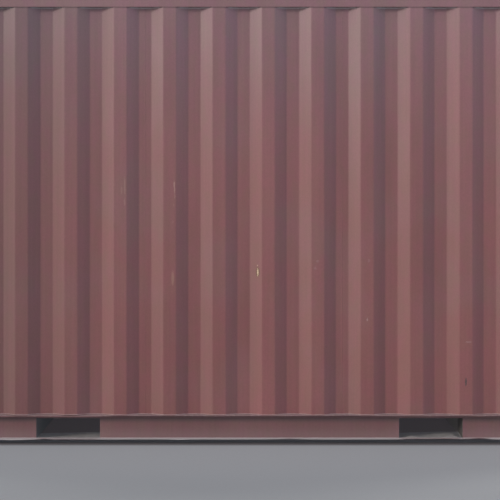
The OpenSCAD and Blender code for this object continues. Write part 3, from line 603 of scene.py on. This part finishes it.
def paint(name, low, high, dust=0.8, rust=0.2, wear=0.0, streaks=1.0, age=0.0,
          rail=False, marks=(), own=None):
    """Oxide paint, with painted haze at the head, and its marks, rust, wear and dirt. A layer of its own,
    of painted light and shade, comes under the dust.
    """
    s = Shader(name)
    cloud = s.noise(1.4, (1, 1, 0.7), 4.0)
    colour = base_with_haze(s, low, high, cloud, streaks)
    for mark_colour, *place in marks:
        colour = mark(s, colour, mark_colour, *place)
    colour = rusted(s, colour, rust)
    if age:
        colour = aged(s, colour, age)
    if wear:
        colour = worn(s, colour, wear, BARE if rail else rust_grains(s))
    film = s.ramp(s.noise(24, detail=5.0, rough=0.6, seed=13), 0.25, 0.65, 0.45, 1.0)
    if rail:
        colour = rail_dirt_and_shade(s, colour)
        film = s.both(film, s.ramp(s.height, *RAIL_FILM, 1.0, 0.25))
    if own:
        colour = own(s, colour)
    upwards = s.ramp(s.part(s.facing, "Z"), 0.35, 0.9)
    colour = s.mix(s.both(s.both(upwards, film), dust), colour, DUST_AND_LIGHT)
    uneven = s.bump(s.noise(300, detail=3.0), PAINT_SKIN, s.bump(cloud, PAINT_BUCKLES))
    return s.finish(colour, s.ramp(cloud, 0.3, 0.7, 0.46, 0.60), uneven)


def steel(name, base, rough, stain):
    """Galvanised steel with a faint spangle, grime and rust stains."""
    s = Shader(name)
    spangle = s.add("ShaderNodeTexVoronoi")
    s.feed(spangle.inputs["Vector"], s.place)
    spangle.inputs["Scale"].default_value = 160
    colour = s.vary(base, spangle.outputs["Distance"], 0.1, 0.7, 0.88, 1.1)
    runs = s.noise(30, (1, 1, 0.08), 5.0, 0.6)
    stained = s.ramp(runs, 0.62 - 0.15 * stain, 0.82 - 0.15 * stain)
    colour = s.mix(stained, colour, RUST_LIGHT)
    grime = s.ramp(s.noise(11, detail=5.0, seed=4), 0.45, 0.75, 0.0, 0.6)
    colour = s.mix(grime, colour, GRIME_AND_SHADE)
    dull = s.ramp(runs, 0.3, 0.7, rough, rough + 0.2)
    metal = s.ramp(runs, 0.5, 0.7, 0.75, 0.2)
    return s.finish(colour, dull, s.bump(s.noise(220, detail=3.0), STEEL_SKIN), metal)


def rubber():
    s = Shader("seal_rubber")
    lifted_hollows = s.ramp(s.noise(18, (1, 1, 0.4), 5.0), 0.4, 0.75, 0.0, 0.35)
    dull = s.ramp(lifted_hollows, 0.0, 0.35, 0.5, 0.8)
    return s.finish(s.mix(lifted_hollows, RUBBER, DUST_AND_LIGHT), dull, s.bump(s.noise(400), RUBBER_SKIN), gloss=0.4)


def plywood():
    """Floor boards: grain along the container and joints between the boards."""
    s = Shader("floor_wood")
    grain = s.noise(60, (0.05, 1, 1), 5.0, 0.6)
    colour = s.mix(s.ramp(grain, 0.3, 0.7), WOOD_DARK, WOOD_LIGHT)
    board = s.math("FRACT", s.math("DIVIDE", s.part(s.place, "X"), BOARD_LENGTH))
    from_joint = s.math("ABSOLUTE", s.math("SUBTRACT", board, 0.5))
    colour = s.vary(colour, from_joint, 0.0, 0.002, 0.25, 1.0)
    colour = s.mix(s.ramp(s.noise(5, detail=5.0), 0.45, 0.7, 0.0, 0.5), colour, GRIME_AND_SHADE)
    return s.finish(colour, 0.65, s.bump(grain, WOOD_GRAIN))


def plastic():
    s = Shader("vent_plastic")
    colour = s.vary(WALL_HIGH, s.noise(6, detail=4.0), 0.3, 0.7, 0.85, 1.0)
    streak = s.ramp(s.noise(80, (1, 1, 0.05), 3.0), 0.45, 0.75, 0.0, 0.45)
    colour = s.mix(streak, colour, GRIME_AND_SHADE)
    return s.finish(colour, s.ramp(streak, 0.0, 0.45, 0.4, 0.6), s.bump(s.noise(350), PLASTIC_SKIN))


# Settings of each paint: its colours at the foot and the head, its dirt, and for some its own layer of
# painted light and shade
PAINTS = {
    "wall_paint": dict(low=WALL_LOW, high=WALL_HIGH, rust=0.3, age=0.8, own=hollow_shade),
    "photo_wall": dict(low=WALL_LOW, high=WALL_HIGH, rust=-0.3, marks=WALL_MARKS, own=photo_wall_painted_light),
    "frame_paint": dict(low=WALL_LOW, high=WALL_HIGH, rust=0.5, wear=0.7, streaks=0.6, age=0.9, dust=0.5),
    "top_rail_paint": dict(low=WALL_LOW, high=WALL_HIGH, rust=0.1, wear=0.3, streaks=0.6, dust=0.5),
    "rail_paint": dict(low=RAIL_LOW, high=RAIL_HIGH, rust=0.25, wear=0.5, dust=0.95, rail=True),
    "roof_paint": dict(low=ROOF, high=ROOF, rust=0.65, dust=0.22, age=1.2),
    "casting_paint": dict(low=RAIL_LOW, high=RAIL_HIGH, rust=1.15, wear=1.0, age=1.2, dust=0.2),
    "door_paint": dict(low=DOOR_LOW, high=WALL_HIGH, rust=0.65, wear=0.6, age=1.1, dust=0.40),
    "gear_paint": dict(low=GEAR, high=GEAR, rust=1.0, wear=0.9, streaks=0.5, age=1.0, dust=0.4),
    "underside_paint": dict(low=UNDERSIDE, high=UNDERSIDE, rust=0.5, wear=0.4),
    "pocket_paint": dict(low=UNDERSIDE, high=UNDERSIDE, rust=0.5, wear=0.4, own=pocket_painted_light),
}


def make_materials():
    """The materials of the record's slots, and of the photographed wall, its top rail and the pockets."""
    made = {name: paint(name, **settings) for name, settings in PAINTS.items()}
    made["rod_steel"] = steel("rod_steel", ROD_ZINC, rough=0.45, stain=0.5)
    made["pin_steel"] = steel("pin_steel", PIN_ZINC, rough=0.35, stain=0.8)
    made["seal_rubber"] = rubber()
    made["floor_wood"] = plywood()
    made["vent_plastic"] = plastic()
    return made


# Mesh building

def add_piece(name, mesh, slot, own=None, smooth=False):
    """Makes the mesh a piece of the container, with the slot's material or its own."""
    mesh.materials.append(materials[own or slot])
    for face in mesh.polygons:
        face.use_smooth = smooth
    made = bpy.data.objects.new(name, mesh)
    bpy.context.scene.collection.objects.link(made)
    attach(made, "root")
    return made


def mesh_of(build, name):
    """A mesh from a bmesh, with its faces turned outwards."""
    bmesh.ops.recalc_face_normals(build, faces=build.faces)
    mesh = bpy.data.meshes.new(name)
    build.to_mesh(mesh)
    build.free()
    return mesh


def ring(build, centre, first, second, sides, turned=0.0):
    """A ring of corners round a centre, from its two arms."""
    corners = []
    for k in range(sides):
        turn = math.tau * (k + turned) / sides
        corners.append(build.verts.new(centre + math.cos(turn) * first + math.sin(turn) * second))
    return corners


def skin(build, rings):
    """Joins each ring of corners to the next one with a band of faces."""
    count = len(rings[0])
    for a, b in zip(rings, rings[1:]):
        for k in range(count):
            after = (k + 1) % count
            build.faces.new((a[k], a[after], b[after], b[k]))


def closed_tube(build, rings):
    """Joins rings of corners to a tube with both ends closed."""
    skin(build, rings)
    build.faces.new(rings[0][::-1])
    build.faces.new(rings[-1])


def block(build, low, high):
    """Adds a box from one corner to the opposite one."""
    outline = ((low[0], low[1]), (high[0], low[1]), (high[0], high[1]), (low[0], high[1]))
    rings = []
    for z in (low[2], high[2]):
        rings.append([build.verts.new((x, y, z)) for x, y in outline])
    closed_tube(build, rings)


def spaced(points, step):
    """Points along a polyline, about a step apart, with its corners kept."""
    placed = [Vector(points[0])]
    for a, b in zip(points, points[1:]):
        a, b = Vector(a), Vector(b)
        count = max(1, round((b - a).length / step))
        placed += [a.lerp(b, i / count) for i in range(1, count + 1)]
    return placed


def direction(path, i):
    """Which way a path runs at one of its points."""
    return (path[min(i + 1, len(path) - 1)] - path[max(i - 1, 0)]).normalized()


def bead(build, points, kind, up=(0, 0, 1)):
    """Adds a weld bead along a polyline: a closed tube whose radius wanders."""
    radius, step = BEADS[kind]
    path = spaced(points, step)
    rings = []
    for i, point in enumerate(path):
        along = direction(path, i)
        across = along.cross(Vector(up)).normalized()
        over = across.cross(along).normalized()
        ripple = sum(share * noise.noise(point * waves) for waves, share in BEAD_RIPPLES)
        width = radius * (1 + ripple)
        rings.append(ring(build, point, width * across, width * over, BEAD_SIDES, 0.5))
    closed_tube(build, rings)


def solid_boxes(node):
    """The lowest and highest corners of each separate solid of a node."""
    build = bmesh.new()
    build.from_mesh(nodes[node].data)
    bmesh.ops.remove_doubles(build, verts=build.verts, dist=SAME_PLACE)
    boxes = []
    seen = set()
    for start in build.verts:
        if start in seen:
            continue
        seen.add(start)
        group = [start]
        places = []
        while group:
            vert = group.pop()
            places.append(vert.co.copy())
            for edge in vert.link_edges:
                other = edge.other_vert(vert)
                if other not in seen:
                    seen.add(other)
                    group.append(other)
        low = Vector([min(p[k] for p in places) for k in range(3)])
        high = Vector([max(p[k] for p in places) for k in range(3)])
        boxes.append((low, high))
    build.free()
    return boxes


# Walls

def wall_point(axis, along, out, up=0.0):
    """A point of a wall whose folds stick out along the axis: its places along, out and up."""
    point = Vector((0, 0, up))
    point[1 - axis] = along
    point[axis] = out
    return point


def wall_line(node, axis, side):
    """The outer line of a corrugated wall, in order. The axis is the one that its folds stick out along."""
    corners = [v.co for v in nodes[node].data.vertices]
    foot = min(corner.z for corner in corners)
    found = set()
    for corner in corners:
        if corner.z < foot + MM:
            found.add((round(corner[1 - axis], 5), round(side * corner[axis], 5)))
    outer = max(depth for place, depth in found)
    inner = min(depth for place, depth in found) + SHEET
    near = 0.3 * MM
    line = sorted(p for p in found if abs(p[1] - outer) < near or abs(p[1] - inner) < near)
    return [wall_point(axis, place, side * depth) for place, depth in line]


def rounded_line(line):
    """The same line with each fold turned into a short arc."""
    points = [line[0]]
    for before, fold, after in zip(line, line[1:], line[2:]):
        back, ahead = (before - fold).normalized(), (after - fold).normalized()
        half = back.angle(ahead) / 2
        shorter = min((before - fold).length, (after - fold).length)
        reach = min(FOLD_RADIUS / math.tan(half), FOLD_SHARE * shorter)
        radius = reach * math.tan(half)
        centre = fold + (back + ahead).normalized() * radius / math.sin(half)
        start, end = fold + reach * back - centre, fold + reach * ahead - centre
        points += [centre + radius * start.slerp(end, i / FOLD_STEPS) for i in range(FOLD_STEPS + 1)]
    points.append(line[-1])
    return points


def wall_sheet(name, axis, side):
    """A corrugated wall as a bent sheet with rounded folds and faces that are not quite flat."""
    low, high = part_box(name)
    outer = rounded_line(wall_line(name, axis, side))
    inner = []
    for i, point in enumerate(outer):
        inward = direction(outer, i).cross(Vector((0, 0, 1)))
        if inward[axis] * side > 0:
            inward = -inward
        inner.append(point + SHEET * inward)
    loop = outer + inner[::-1]
    build = bmesh.new()
    rows = []
    for k in range(WALL_ROWS + 1):
        share = k / WALL_ROWS
        z = low.z + (high.z - low.z) * share
        row = []
        for point in loop:
            place = point + Vector((0, 0, z))
            wave = noise.noise(place * Vector(WALL_WAVES))
            place[axis] += math.sin(math.pi * share) * WALL_WAVE * wave
            row.append(build.verts.new(place))
        rows.append(row)
    skin(build, rows)
    for row in (rows[0], rows[-1]):
        for i in range(len(outer) - 1):
            build.faces.new((row[i], row[i + 1], row[-2 - i], row[-1 - i]))
    made = add_piece(f"{name}_sheet", mesh_of(build, name), "wall_paint", OWN_PAINT.get(name))
    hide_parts(name)


def seam_places(name):
    """Where a wall's sheets meet, all on inner faces."""
    if name == "front_wall":
        return FRONT_SEAMS
    return [photo_x(SEAM_COLUMN) + i * SEAM_SPACING for i in (-1, 0, 1, 2)]


def wall_welds():
    """Beads along the walls' upper and lower edges, and the butt welds between their sheets."""
    for name, axis, side in WALLS:
        line = wall_line(name, axis, side)
        low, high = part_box(name)
        build = bmesh.new()
        for z, kind in ((low.z, "wall foot"), (high.z, "wall head")):
            bead(build, [point + Vector((0, 0, z)) for point in line], kind)
        add_piece(f"{name}_edge_welds", mesh_of(build, name), "wall_paint", OWN_PAINT.get(name), True)
        build = bmesh.new()
        outward = wall_point(axis, 0, side)
        depth = min(abs(point[axis]) for point in line) - SEAM_SUNK
        for place in seam_places(name):
            ends = [wall_point(axis, place, side * depth, z) for z in (low.z + SEAM_END, high.z - SEAM_END)]
            bead(build, ends, "wall seam", outward)
        add_piece(f"{name}_seam_welds", mesh_of(build, name), "wall_paint", OWN_PAINT.get(name), True)


# Bottom rails, with the small dents of use

def dent(x, flange):
    """How far a flange's edge hangs down at that place of the photographed rail."""
    total = 0.0
    for column, which, drop, half in RAIL_DENTS:
        if which == flange:
            total += drop * math.exp(-((x - photo_x(column)) / half) ** 2)
    return total


def pocket_holes():
    """The x range of each pocket's opening in the rail."""
    holes = []
    for pocket in STRAP_BENDS:
        low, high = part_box(pocket)
        holes.append((low.x + POCKET_WEB, high.x - POCKET_WEB))
    return holes


def rail_places(low, high, holes):
    """Places along a rail, about a step apart, with the ends of each opening among them."""
    stops = sorted({low, high, *(x for hole in holes for x in hole)})
    places = [stops[0]]
    for a, b in zip(stops, stops[1:]):
        steps = max(1, round((b - a) / RAIL_STEP))
        places += [a + (b - a) * i / steps for i in range(1, steps + 1)]
    return places


def rail_profile(low, high, side):
    """The outline of a bottom rail, from the inner corner of its low flange: y, z and which flange."""
    web = side * min(abs(low.y), abs(high.y))
    face = web + side * RAIL_PLATE
    edge = side * max(abs(low.y), abs(high.y))
    low_edge = web + side * RAIL_LOW_FLANGE
    under = low.z + RAIL_LOW_RISE
    floor_z = max(POCKET_FLOOR, under + RAIL_LOW_PLATE + MM)
    return (
        (web, under, None),
        (low_edge, under, "low"),
        (low_edge, under + RAIL_LOW_PLATE, "low"),
        (face, under + RAIL_LOW_PLATE, None),
        (face, floor_z, None),
        (face, POCKET_ROOF, None),
        (face, high.z - RAIL_PLATE, None),
        (edge, high.z - RAIL_LIP, "top"),
        (edge, high.z, "top"),
        (web, high.z, None),
        (web, POCKET_ROOF, None),
        (web, floor_z, None),
    )


def bent(x, z, side, flange):
    """The height of a flange's edge with its waves and dents."""
    wave = noise.noise(Vector((RAIL_WAVES * x, side, RAIL_WAVE_SEEDS[flange])))
    return max(z - RAIL_WAVE * wave - dent(-side * x, flange), RAIL_LOWEST)


def rail_faces(build, rows, places, holes):
    """Joins the rows of a rail, with the pockets' openings through its web and its ends closed."""
    count = len(rows[0])
    for a, b, x in zip(rows, rows[1:], places):
        cut = any(start - MM < x < end - MM for start, end in holes)
        for k in range(count):
            if not (cut and k in (FACE_FOOT, WEB_HEAD)):
                build.faces.new((a[k], a[(k + 1) % count], b[(k + 1) % count], b[k]))
        if cut:
            for outer, inner in ((FACE_FOOT, WEB_FOOT), (FACE_HEAD, WEB_HEAD)):
                build.faces.new((a[outer], b[outer], b[inner], a[inner]))
    for row, x in zip(rows, places):
        if any(abs(x - end) < 0.1 * MM for hole in holes for end in hole):
            build.faces.new([row[k] for k in (FACE_FOOT, FACE_HEAD, WEB_HEAD, WEB_FOOT)])
    build.faces.new(rows[0])
    build.faces.new(rows[-1])


def bottom_rail(side_name):
    """The bottom side rail as a bent plate whose flanges wave a little, with its pocket cut-outs."""
    node = f"{side_name}_bottom_rail"
    side = SIDES[side_name]
    low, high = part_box(node)
    holes = pocket_holes()
    places = rail_places(low.x, high.x, holes)
    build = bmesh.new()
    rows = []
    for x in places:
        row = []
        for y, z, flange in rail_profile(low, high, side):
            row.append(build.verts.new((x, y, bent(x, z, side, flange) if flange else z)))
        rows.append(row)
    rail_faces(build, rows, places, holes)
    made = add_piece(f"{side_name}_dented_rail", mesh_of(build, node), "rail_paint")
    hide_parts(node)


# Fork pockets, with the straps that forks have bent

def rise(stops, x):
    """The height between two stops, eased, at that place along the container."""
    stops = [(photo_x(column), up * MM) for column, up in stops]
    if x <= stops[0][0]:
        return stops[0][1]
    for (a, low), (b, high) in zip(stops, stops[1:]):
        if x <= b:
            t = (x - a) / (b - a)
            return low + (high - low) * t * t * (3 - 2 * t)
    return stops[-1][1]


def strap(build, node, side):
    """Adds one bottom strap of a pocket: a plate in from the rail's web, bent as in the photograph."""
    low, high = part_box(node)
    front, rear = STRAP_BENDS[node]
    sheets = []
    for under in (0, POCKET_WEB):
        rows = []
        for i in range(STRAP_ACROSS + 1):
            x = low.x + (high.x - low.x) * i / STRAP_ACROSS
            seen = -side * x
            row = []
            for j in range(STRAP_DEEP + 1):
                share = j / STRAP_DEEP
                up = (1 - share) * rise(front, seen) + share * rise(rear, seen)
                y = side * (high.y - share * STRAP_LENGTH)
                wave = STRAP_WAVE * noise.noise(Vector((STRAP_WAVES * x, STRAP_WAVES * y, 3)))
                row.append(build.verts.new((x, y, POCKET_FLOOR - under + up + wave)))
            rows.append(row)
        sheets.append(rows)
    for rows in sheets:
        for a, b in zip(rows, rows[1:]):
            for j in range(STRAP_DEEP):
                build.faces.new((a[j], b[j], b[j + 1], a[j + 1]))
    top, foot = sheets
    for j in range(STRAP_DEEP):
        for i in (0, STRAP_ACROSS):
            build.faces.new((top[i][j], top[i][j + 1], foot[i][j + 1], foot[i][j]))
    for i in range(STRAP_ACROSS):
        for j in (0, STRAP_DEEP):
            build.faces.new((top[i][j], top[i + 1][j], foot[i + 1][j], foot[i][j]))


def fork_pocket(node):
    """A pocket: its roof plate, two webs and two straps."""
    low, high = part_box(node)
    member_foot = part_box("cross_members")[0].z
    build = bmesh.new()
    block(build, (low.x, low.y, POCKET_ROOF), (high.x, high.y, POCKET_ROOF + POCKET_PLATE))
    for x in (low.x, high.x - POCKET_WEB):
        block(build, (x, low.y, member_foot), (x + POCKET_WEB, high.y, POCKET_ROOF))
    for side in SIDES.values():
        strap(build, node, side)
    made = add_piece(f"{node}_bent", mesh_of(build, node), "underside_paint", "pocket_paint")
    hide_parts(node)


# Fittings

def head(build, place, axis, size):
    """Adds the rounded head of a bolt or rivet that stands on a face, along the axis given."""
    radius, height = size
    axis = Vector(axis)
    first = axis.orthogonal().normalized()
    second = axis.cross(first)
    rings = []
    for out, up in HEAD_OUTLINE:
        centre = Vector(place) + height * up * axis
        rings.append(ring(build, centre, radius * out * first, radius * out * second, HEAD_SIDES))
    closed_tube(build, rings)


def door_bolts():
    """Bolt heads on the rods' brackets and the hinge blades."""
    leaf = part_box("left_door_frame")[1].x
    aside, above = BRACKET_BOLTS
    build = bmesh.new()
    for side_name, side in SIDES.items():
        for low, high in solid_boxes(f"{side_name}_rod_brackets"):
            middle = (low + high) / 2
            for dy in (-aside, aside):
                for dz in (-above, above):
                    place = (leaf + BRACKET_PLATE, middle.y + dy, middle.z + dz)
                    head(build, place, (1, 0, 0), BOLT)
        for low, high in solid_boxes(f"{side_name}_door_hinges"):
            inner = min(abs(low.y), abs(high.y))
            for reach in BLADE_BOLTS_IN:
                for dz in (-BLADE_BOLT_RISE, BLADE_BOLT_RISE):
                    place = (leaf + BLADE, side * (inner + reach), (low.z + high.z) / 2 + dz)
                    head(build, place, (1, 0, 0), BOLT)
    add_piece("door_bolts", mesh_of(build, "door_bolts"), "pin_steel", smooth=True)


def vent_rivets():
    """A rivet in each corner of each ventilator."""
    in_x, in_z = RIVET_INSET
    build = bmesh.new()
    for low, high in solid_boxes("side_vents"):
        side = 1 if high.y > 0 else -1
        face = side * max(abs(low.y), abs(high.y))
        for x in (low.x + in_x, high.x - in_x):
            for z in (low.z + in_z, high.z - in_z):
                head(build, (x, face, z), (0, side, 0), RIVET)
    add_piece("vent_rivets", mesh_of(build, "vent_rivets"), "pin_steel", smooth=True)


def frame_welds():
    """Beads round the posts' feet and heads, and down the ends of the side rails."""
    post_low, post_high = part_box("front_left_post")
    rail_low, rail_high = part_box("left_bottom_rail")
    top_low, top_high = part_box("left_top_rail")
    front, rear = post_low.x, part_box("rear_left_post")[1].x
    inner = abs(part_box("front_bottom_rail")[0].y)
    span = rail_high.x
    build = bmesh.new()
    for side in SIDES.values():
        outer = side * abs(post_low.y)
        for z in (post_low.z, post_high.z):
            bead(build, [(front, side * inner, z), (front, outer, z), (-span, outer, z)], "post end")
            turned_in = outer - side * REAR_POST_RETURN
            bead(build, [(span, outer, z), (rear, outer, z), (rear, turned_in, z)], "post end")
        web, edge = side * abs(rail_high.y), side * abs(rail_low.y)
        face = web + side * RAIL_PLATE
        rail_line = (
            (edge, rail_high.z),
            (face, rail_high.z - RAIL_PLATE),
            (face, rail_low.z + RAIL_PLATE),
            (web + side * RAIL_LOW_FLANGE, rail_low.z),
        )
        top_face = side * abs(top_low.y)
        for x in (-span, span):
            bead(build, [(x, y, z) for y, z in rail_line], "bottom rail end", (1, 0, 0.1))
            bead(build, [(x, top_face, top_low.z), (x, top_face, top_high.z)], "top rail end", (0, 1, 0))
    add_piece("frame_welds", mesh_of(build, "frame_welds"), "frame_paint", smooth=True)


def roof_welds():
    """Beads round the roof sheet and its corner plates, and across it where its sheets meet."""
    build = bmesh.new()
    low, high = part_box("roof")
    flat = low.z + SHEET
    for y in (low.y, high.y):
        bead(build, [(low.x, y, flat), (high.x, y, flat)], "roof side")
    for place in ROOF_SEAMS:
        x = place * ROOF_PITCH
        ends = [(x, low.y + ROOF_SEAM_END, flat), (x, high.y - ROOF_SEAM_END, flat)]
        bead(build, ends, "roof seam")
    for x in (low.x, high.x):
        bead(build, [(x, -ROOF_END_REACH, flat), (x, ROOF_END_REACH, flat)], "roof end")
    for a, b in solid_boxes("roof_corner_plates"):
        corners = ((a.x, a.y), (b.x, a.y), (b.x, b.y), (a.x, b.y), (a.x, a.y))
        bead(build, [(x, y, flat) for x, y in corners], "roof plate")
    add_piece("roof_welds", mesh_of(build, "roof_welds"), "roof_paint", smooth=True)


def soften_nodes():
    """Rounds the sharp edges of CAD nodes with modifiers."""
    for width, segments, names in SOFT_EDGES:
        for name in names:
            weld = nodes[name].modifiers.new("weld", "WELD")
            weld.merge_threshold = SAME_PLACE
            rounded = nodes[name].modifiers.new("round", "BEVEL")
            rounded.width = width
            rounded.segments = segments
            rounded.limit_method = "ANGLE"
            rounded.angle_limit = math.radians(SOFT_ANGLE)


# Light, floor and camera

def tint_across(tree, across, start, left, right):
    """Goes from the left colour to the right one as a direction's X goes from start to 1."""
    share = tree.nodes.new("ShaderNodeMapRange")
    share.inputs["From Min"].default_value = start
    tree.links.new(across, share.inputs["Value"])
    tint = tree.nodes.new("ShaderNodeMix")
    tint.data_type = "RGBA"
    tree.links.new(share.outputs[0], tint.inputs[0])
    tint.inputs[6].default_value = (*left, 1.0)
    tint.inputs[7].default_value = (*right, 1.0)
    return tint.outputs[2]


def sky():
    """Light from all round, stronger from above and bluer from the right, and a pale backdrop."""
    world = bpy.data.worlds.new("sky")
    bpy.context.scene.world = world
    world.use_nodes = True
    tree = world.node_tree
    new, link = tree.nodes.new, tree.links.new
    coords = new("ShaderNodeTexCoord")
    split = new("ShaderNodeSeparateXYZ")
    link(coords.outputs["Generated"], split.inputs[0])
    level = new("ShaderNodeMapRange")
    link(split.outputs["Z"], level.inputs["Value"])
    level.inputs["To Min"].default_value = SKY_LOW
    level.inputs["To Max"].default_value = SKY_HIGH
    light = tree.nodes["Background"]
    link(tint_across(tree, split.outputs["X"], -1.0, SKY_LEFT, SKY_RIGHT), light.inputs["Color"])
    link(level.outputs[0], light.inputs["Strength"])
    shine = new("ShaderNodeBackground")
    link(tint_across(tree, split.outputs["X"], 0.0, BACKDROP, SHINE_RIGHT), shine.inputs["Color"])
    backdrop = new("ShaderNodeBackground")
    backdrop.inputs["Color"].default_value = (*BACKDROP, 1.0)
    rays = new("ShaderNodeLightPath")
    lit = light
    seen = {"Is Glossy Ray": shine, "Is Transmission Ray": backdrop, "Is Camera Ray": backdrop}
    for kind, source in seen.items():
        both = new("ShaderNodeMixShader")
        link(rays.outputs[kind], both.inputs[0])
        link(lit.outputs[0], both.inputs[1])
        link(source.outputs[0], both.inputs[2])
        lit = both
    link(lit.outputs[0], tree.nodes["World Output"].inputs["Surface"])


def lamp(name, azimuth, elevation, strength, spread, colour, shadow):
    """A parallel light from that side: azimuth 0 is from -Y and 90 from +X."""
    data = bpy.data.lights.new(name, "SUN")
    data.energy = strength
    data.angle = math.radians(spread)
    data.color = colour
    data.use_shadow = shadow
    made = bpy.data.objects.new(name, data)
    bpy.context.scene.collection.objects.link(made)
    a, e = math.radians(azimuth), math.radians(elevation)
    towards = Vector((math.sin(a) * math.cos(e), -math.cos(a) * math.cos(e), math.sin(e)))
    made.rotation_mode = "QUATERNION"
    made.rotation_quaternion = towards.to_track_quat("Z", "Y")


def floor():
    """Grey ground with painted light near the container, a painted contact shadow round it and painted
    shade under it.
    """
    far = FLOOR_REACH
    mesh = bpy.data.meshes.new("floor")
    mesh.from_pydata([(-far, -far, 0), (far, -far, 0), (far, far, 0), (-far, far, 0)], [], [(0, 1, 2, 3)])
    made = bpy.data.objects.new("floor", mesh)
    bpy.context.scene.collection.objects.link(made)
    s = Shader("floor_grey")
    colour = s.sway(FLOOR_COLOUR, s.noise(60, detail=3.0, rough=0.6), 0.015)
    beyond_x = s.math("SUBTRACT", s.off("X"), cad_high.x)
    beyond_y = s.math("SUBTRACT", s.off("Y"), cad_high.y)
    beyond = s.math("MAXIMUM", beyond_x, beyond_y)
    # Painted contact shadow round the container, painted shade under it and painted light near it
    from_line = s.math("ABSOLUTE", s.math("ADD", beyond, CONTACT_SHADOW_INSIDE))
    colour = s.times(colour, s.mix(s.ramp(from_line, *CONTACT_SHADOW_FADE), FLOOR_CONTACT_SHADOW, PLAIN))
    colour = s.times(colour, s.mix(s.ramp(beyond, *UNDER_SHADE_FADE), PLAIN, FLOOR_UNDER_SHADE))
    colour = s.vary(colour, beyond, *FLOOR_LIGHT_FADE, FLOOR_NEAR_LIGHT, FLOOR_FAR)
    mesh.materials.append(s.finish(colour, FLOOR_ROUGH, gloss=FLOOR_GLOSS))


def camera():
    """Looks level and straight on at the photographed side, framed as in the photograph."""
    data = bpy.data.cameras.new("camera")
    data.lens = LENS
    data.sensor_width = SENSOR
    data.shift_y = CAMERA_SHIFT
    made = bpy.data.objects.new("camera", data)
    bpy.context.scene.collection.objects.link(made)
    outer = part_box("left_wall")[0].y
    height = photo_z(PHOTO_SIZE / 2) - CAMERA_SHIFT * PHOTO_SIZE * PIXEL
    made.location = (photo_x(PHOTO_SIZE / 2), outer - CAMERA_DISTANCE, height)
    made.rotation_euler = (math.radians(90), 0, 0)
    bpy.context.scene.camera = made


def dress_nodes():
    """Gives each CAD node the material of its slot, or its own."""
    for part in frame["record"]["subparts"]:
        name, slot = part["node"], part["material_slot"]
        mesh = nodes[name].data
        mesh.materials.clear()
        mesh.materials.append(materials[OWN_PAINT.get(name, slot)])


camera()
materials = make_materials()
dress_nodes()
for wall in WALLS:
    wall_sheet(*wall)
wall_welds()
for side in SIDES:
    bottom_rail(side)
for node in STRAP_BENDS:
    fork_pocket(node)
door_bolts()
vent_rivets()
frame_welds()
roof_welds()
soften_nodes()
sky()
for name, settings in LAMPS.items():
    lamp(name, *settings)
floor()
bpy.context.scene.view_settings.view_transform = "Standard"
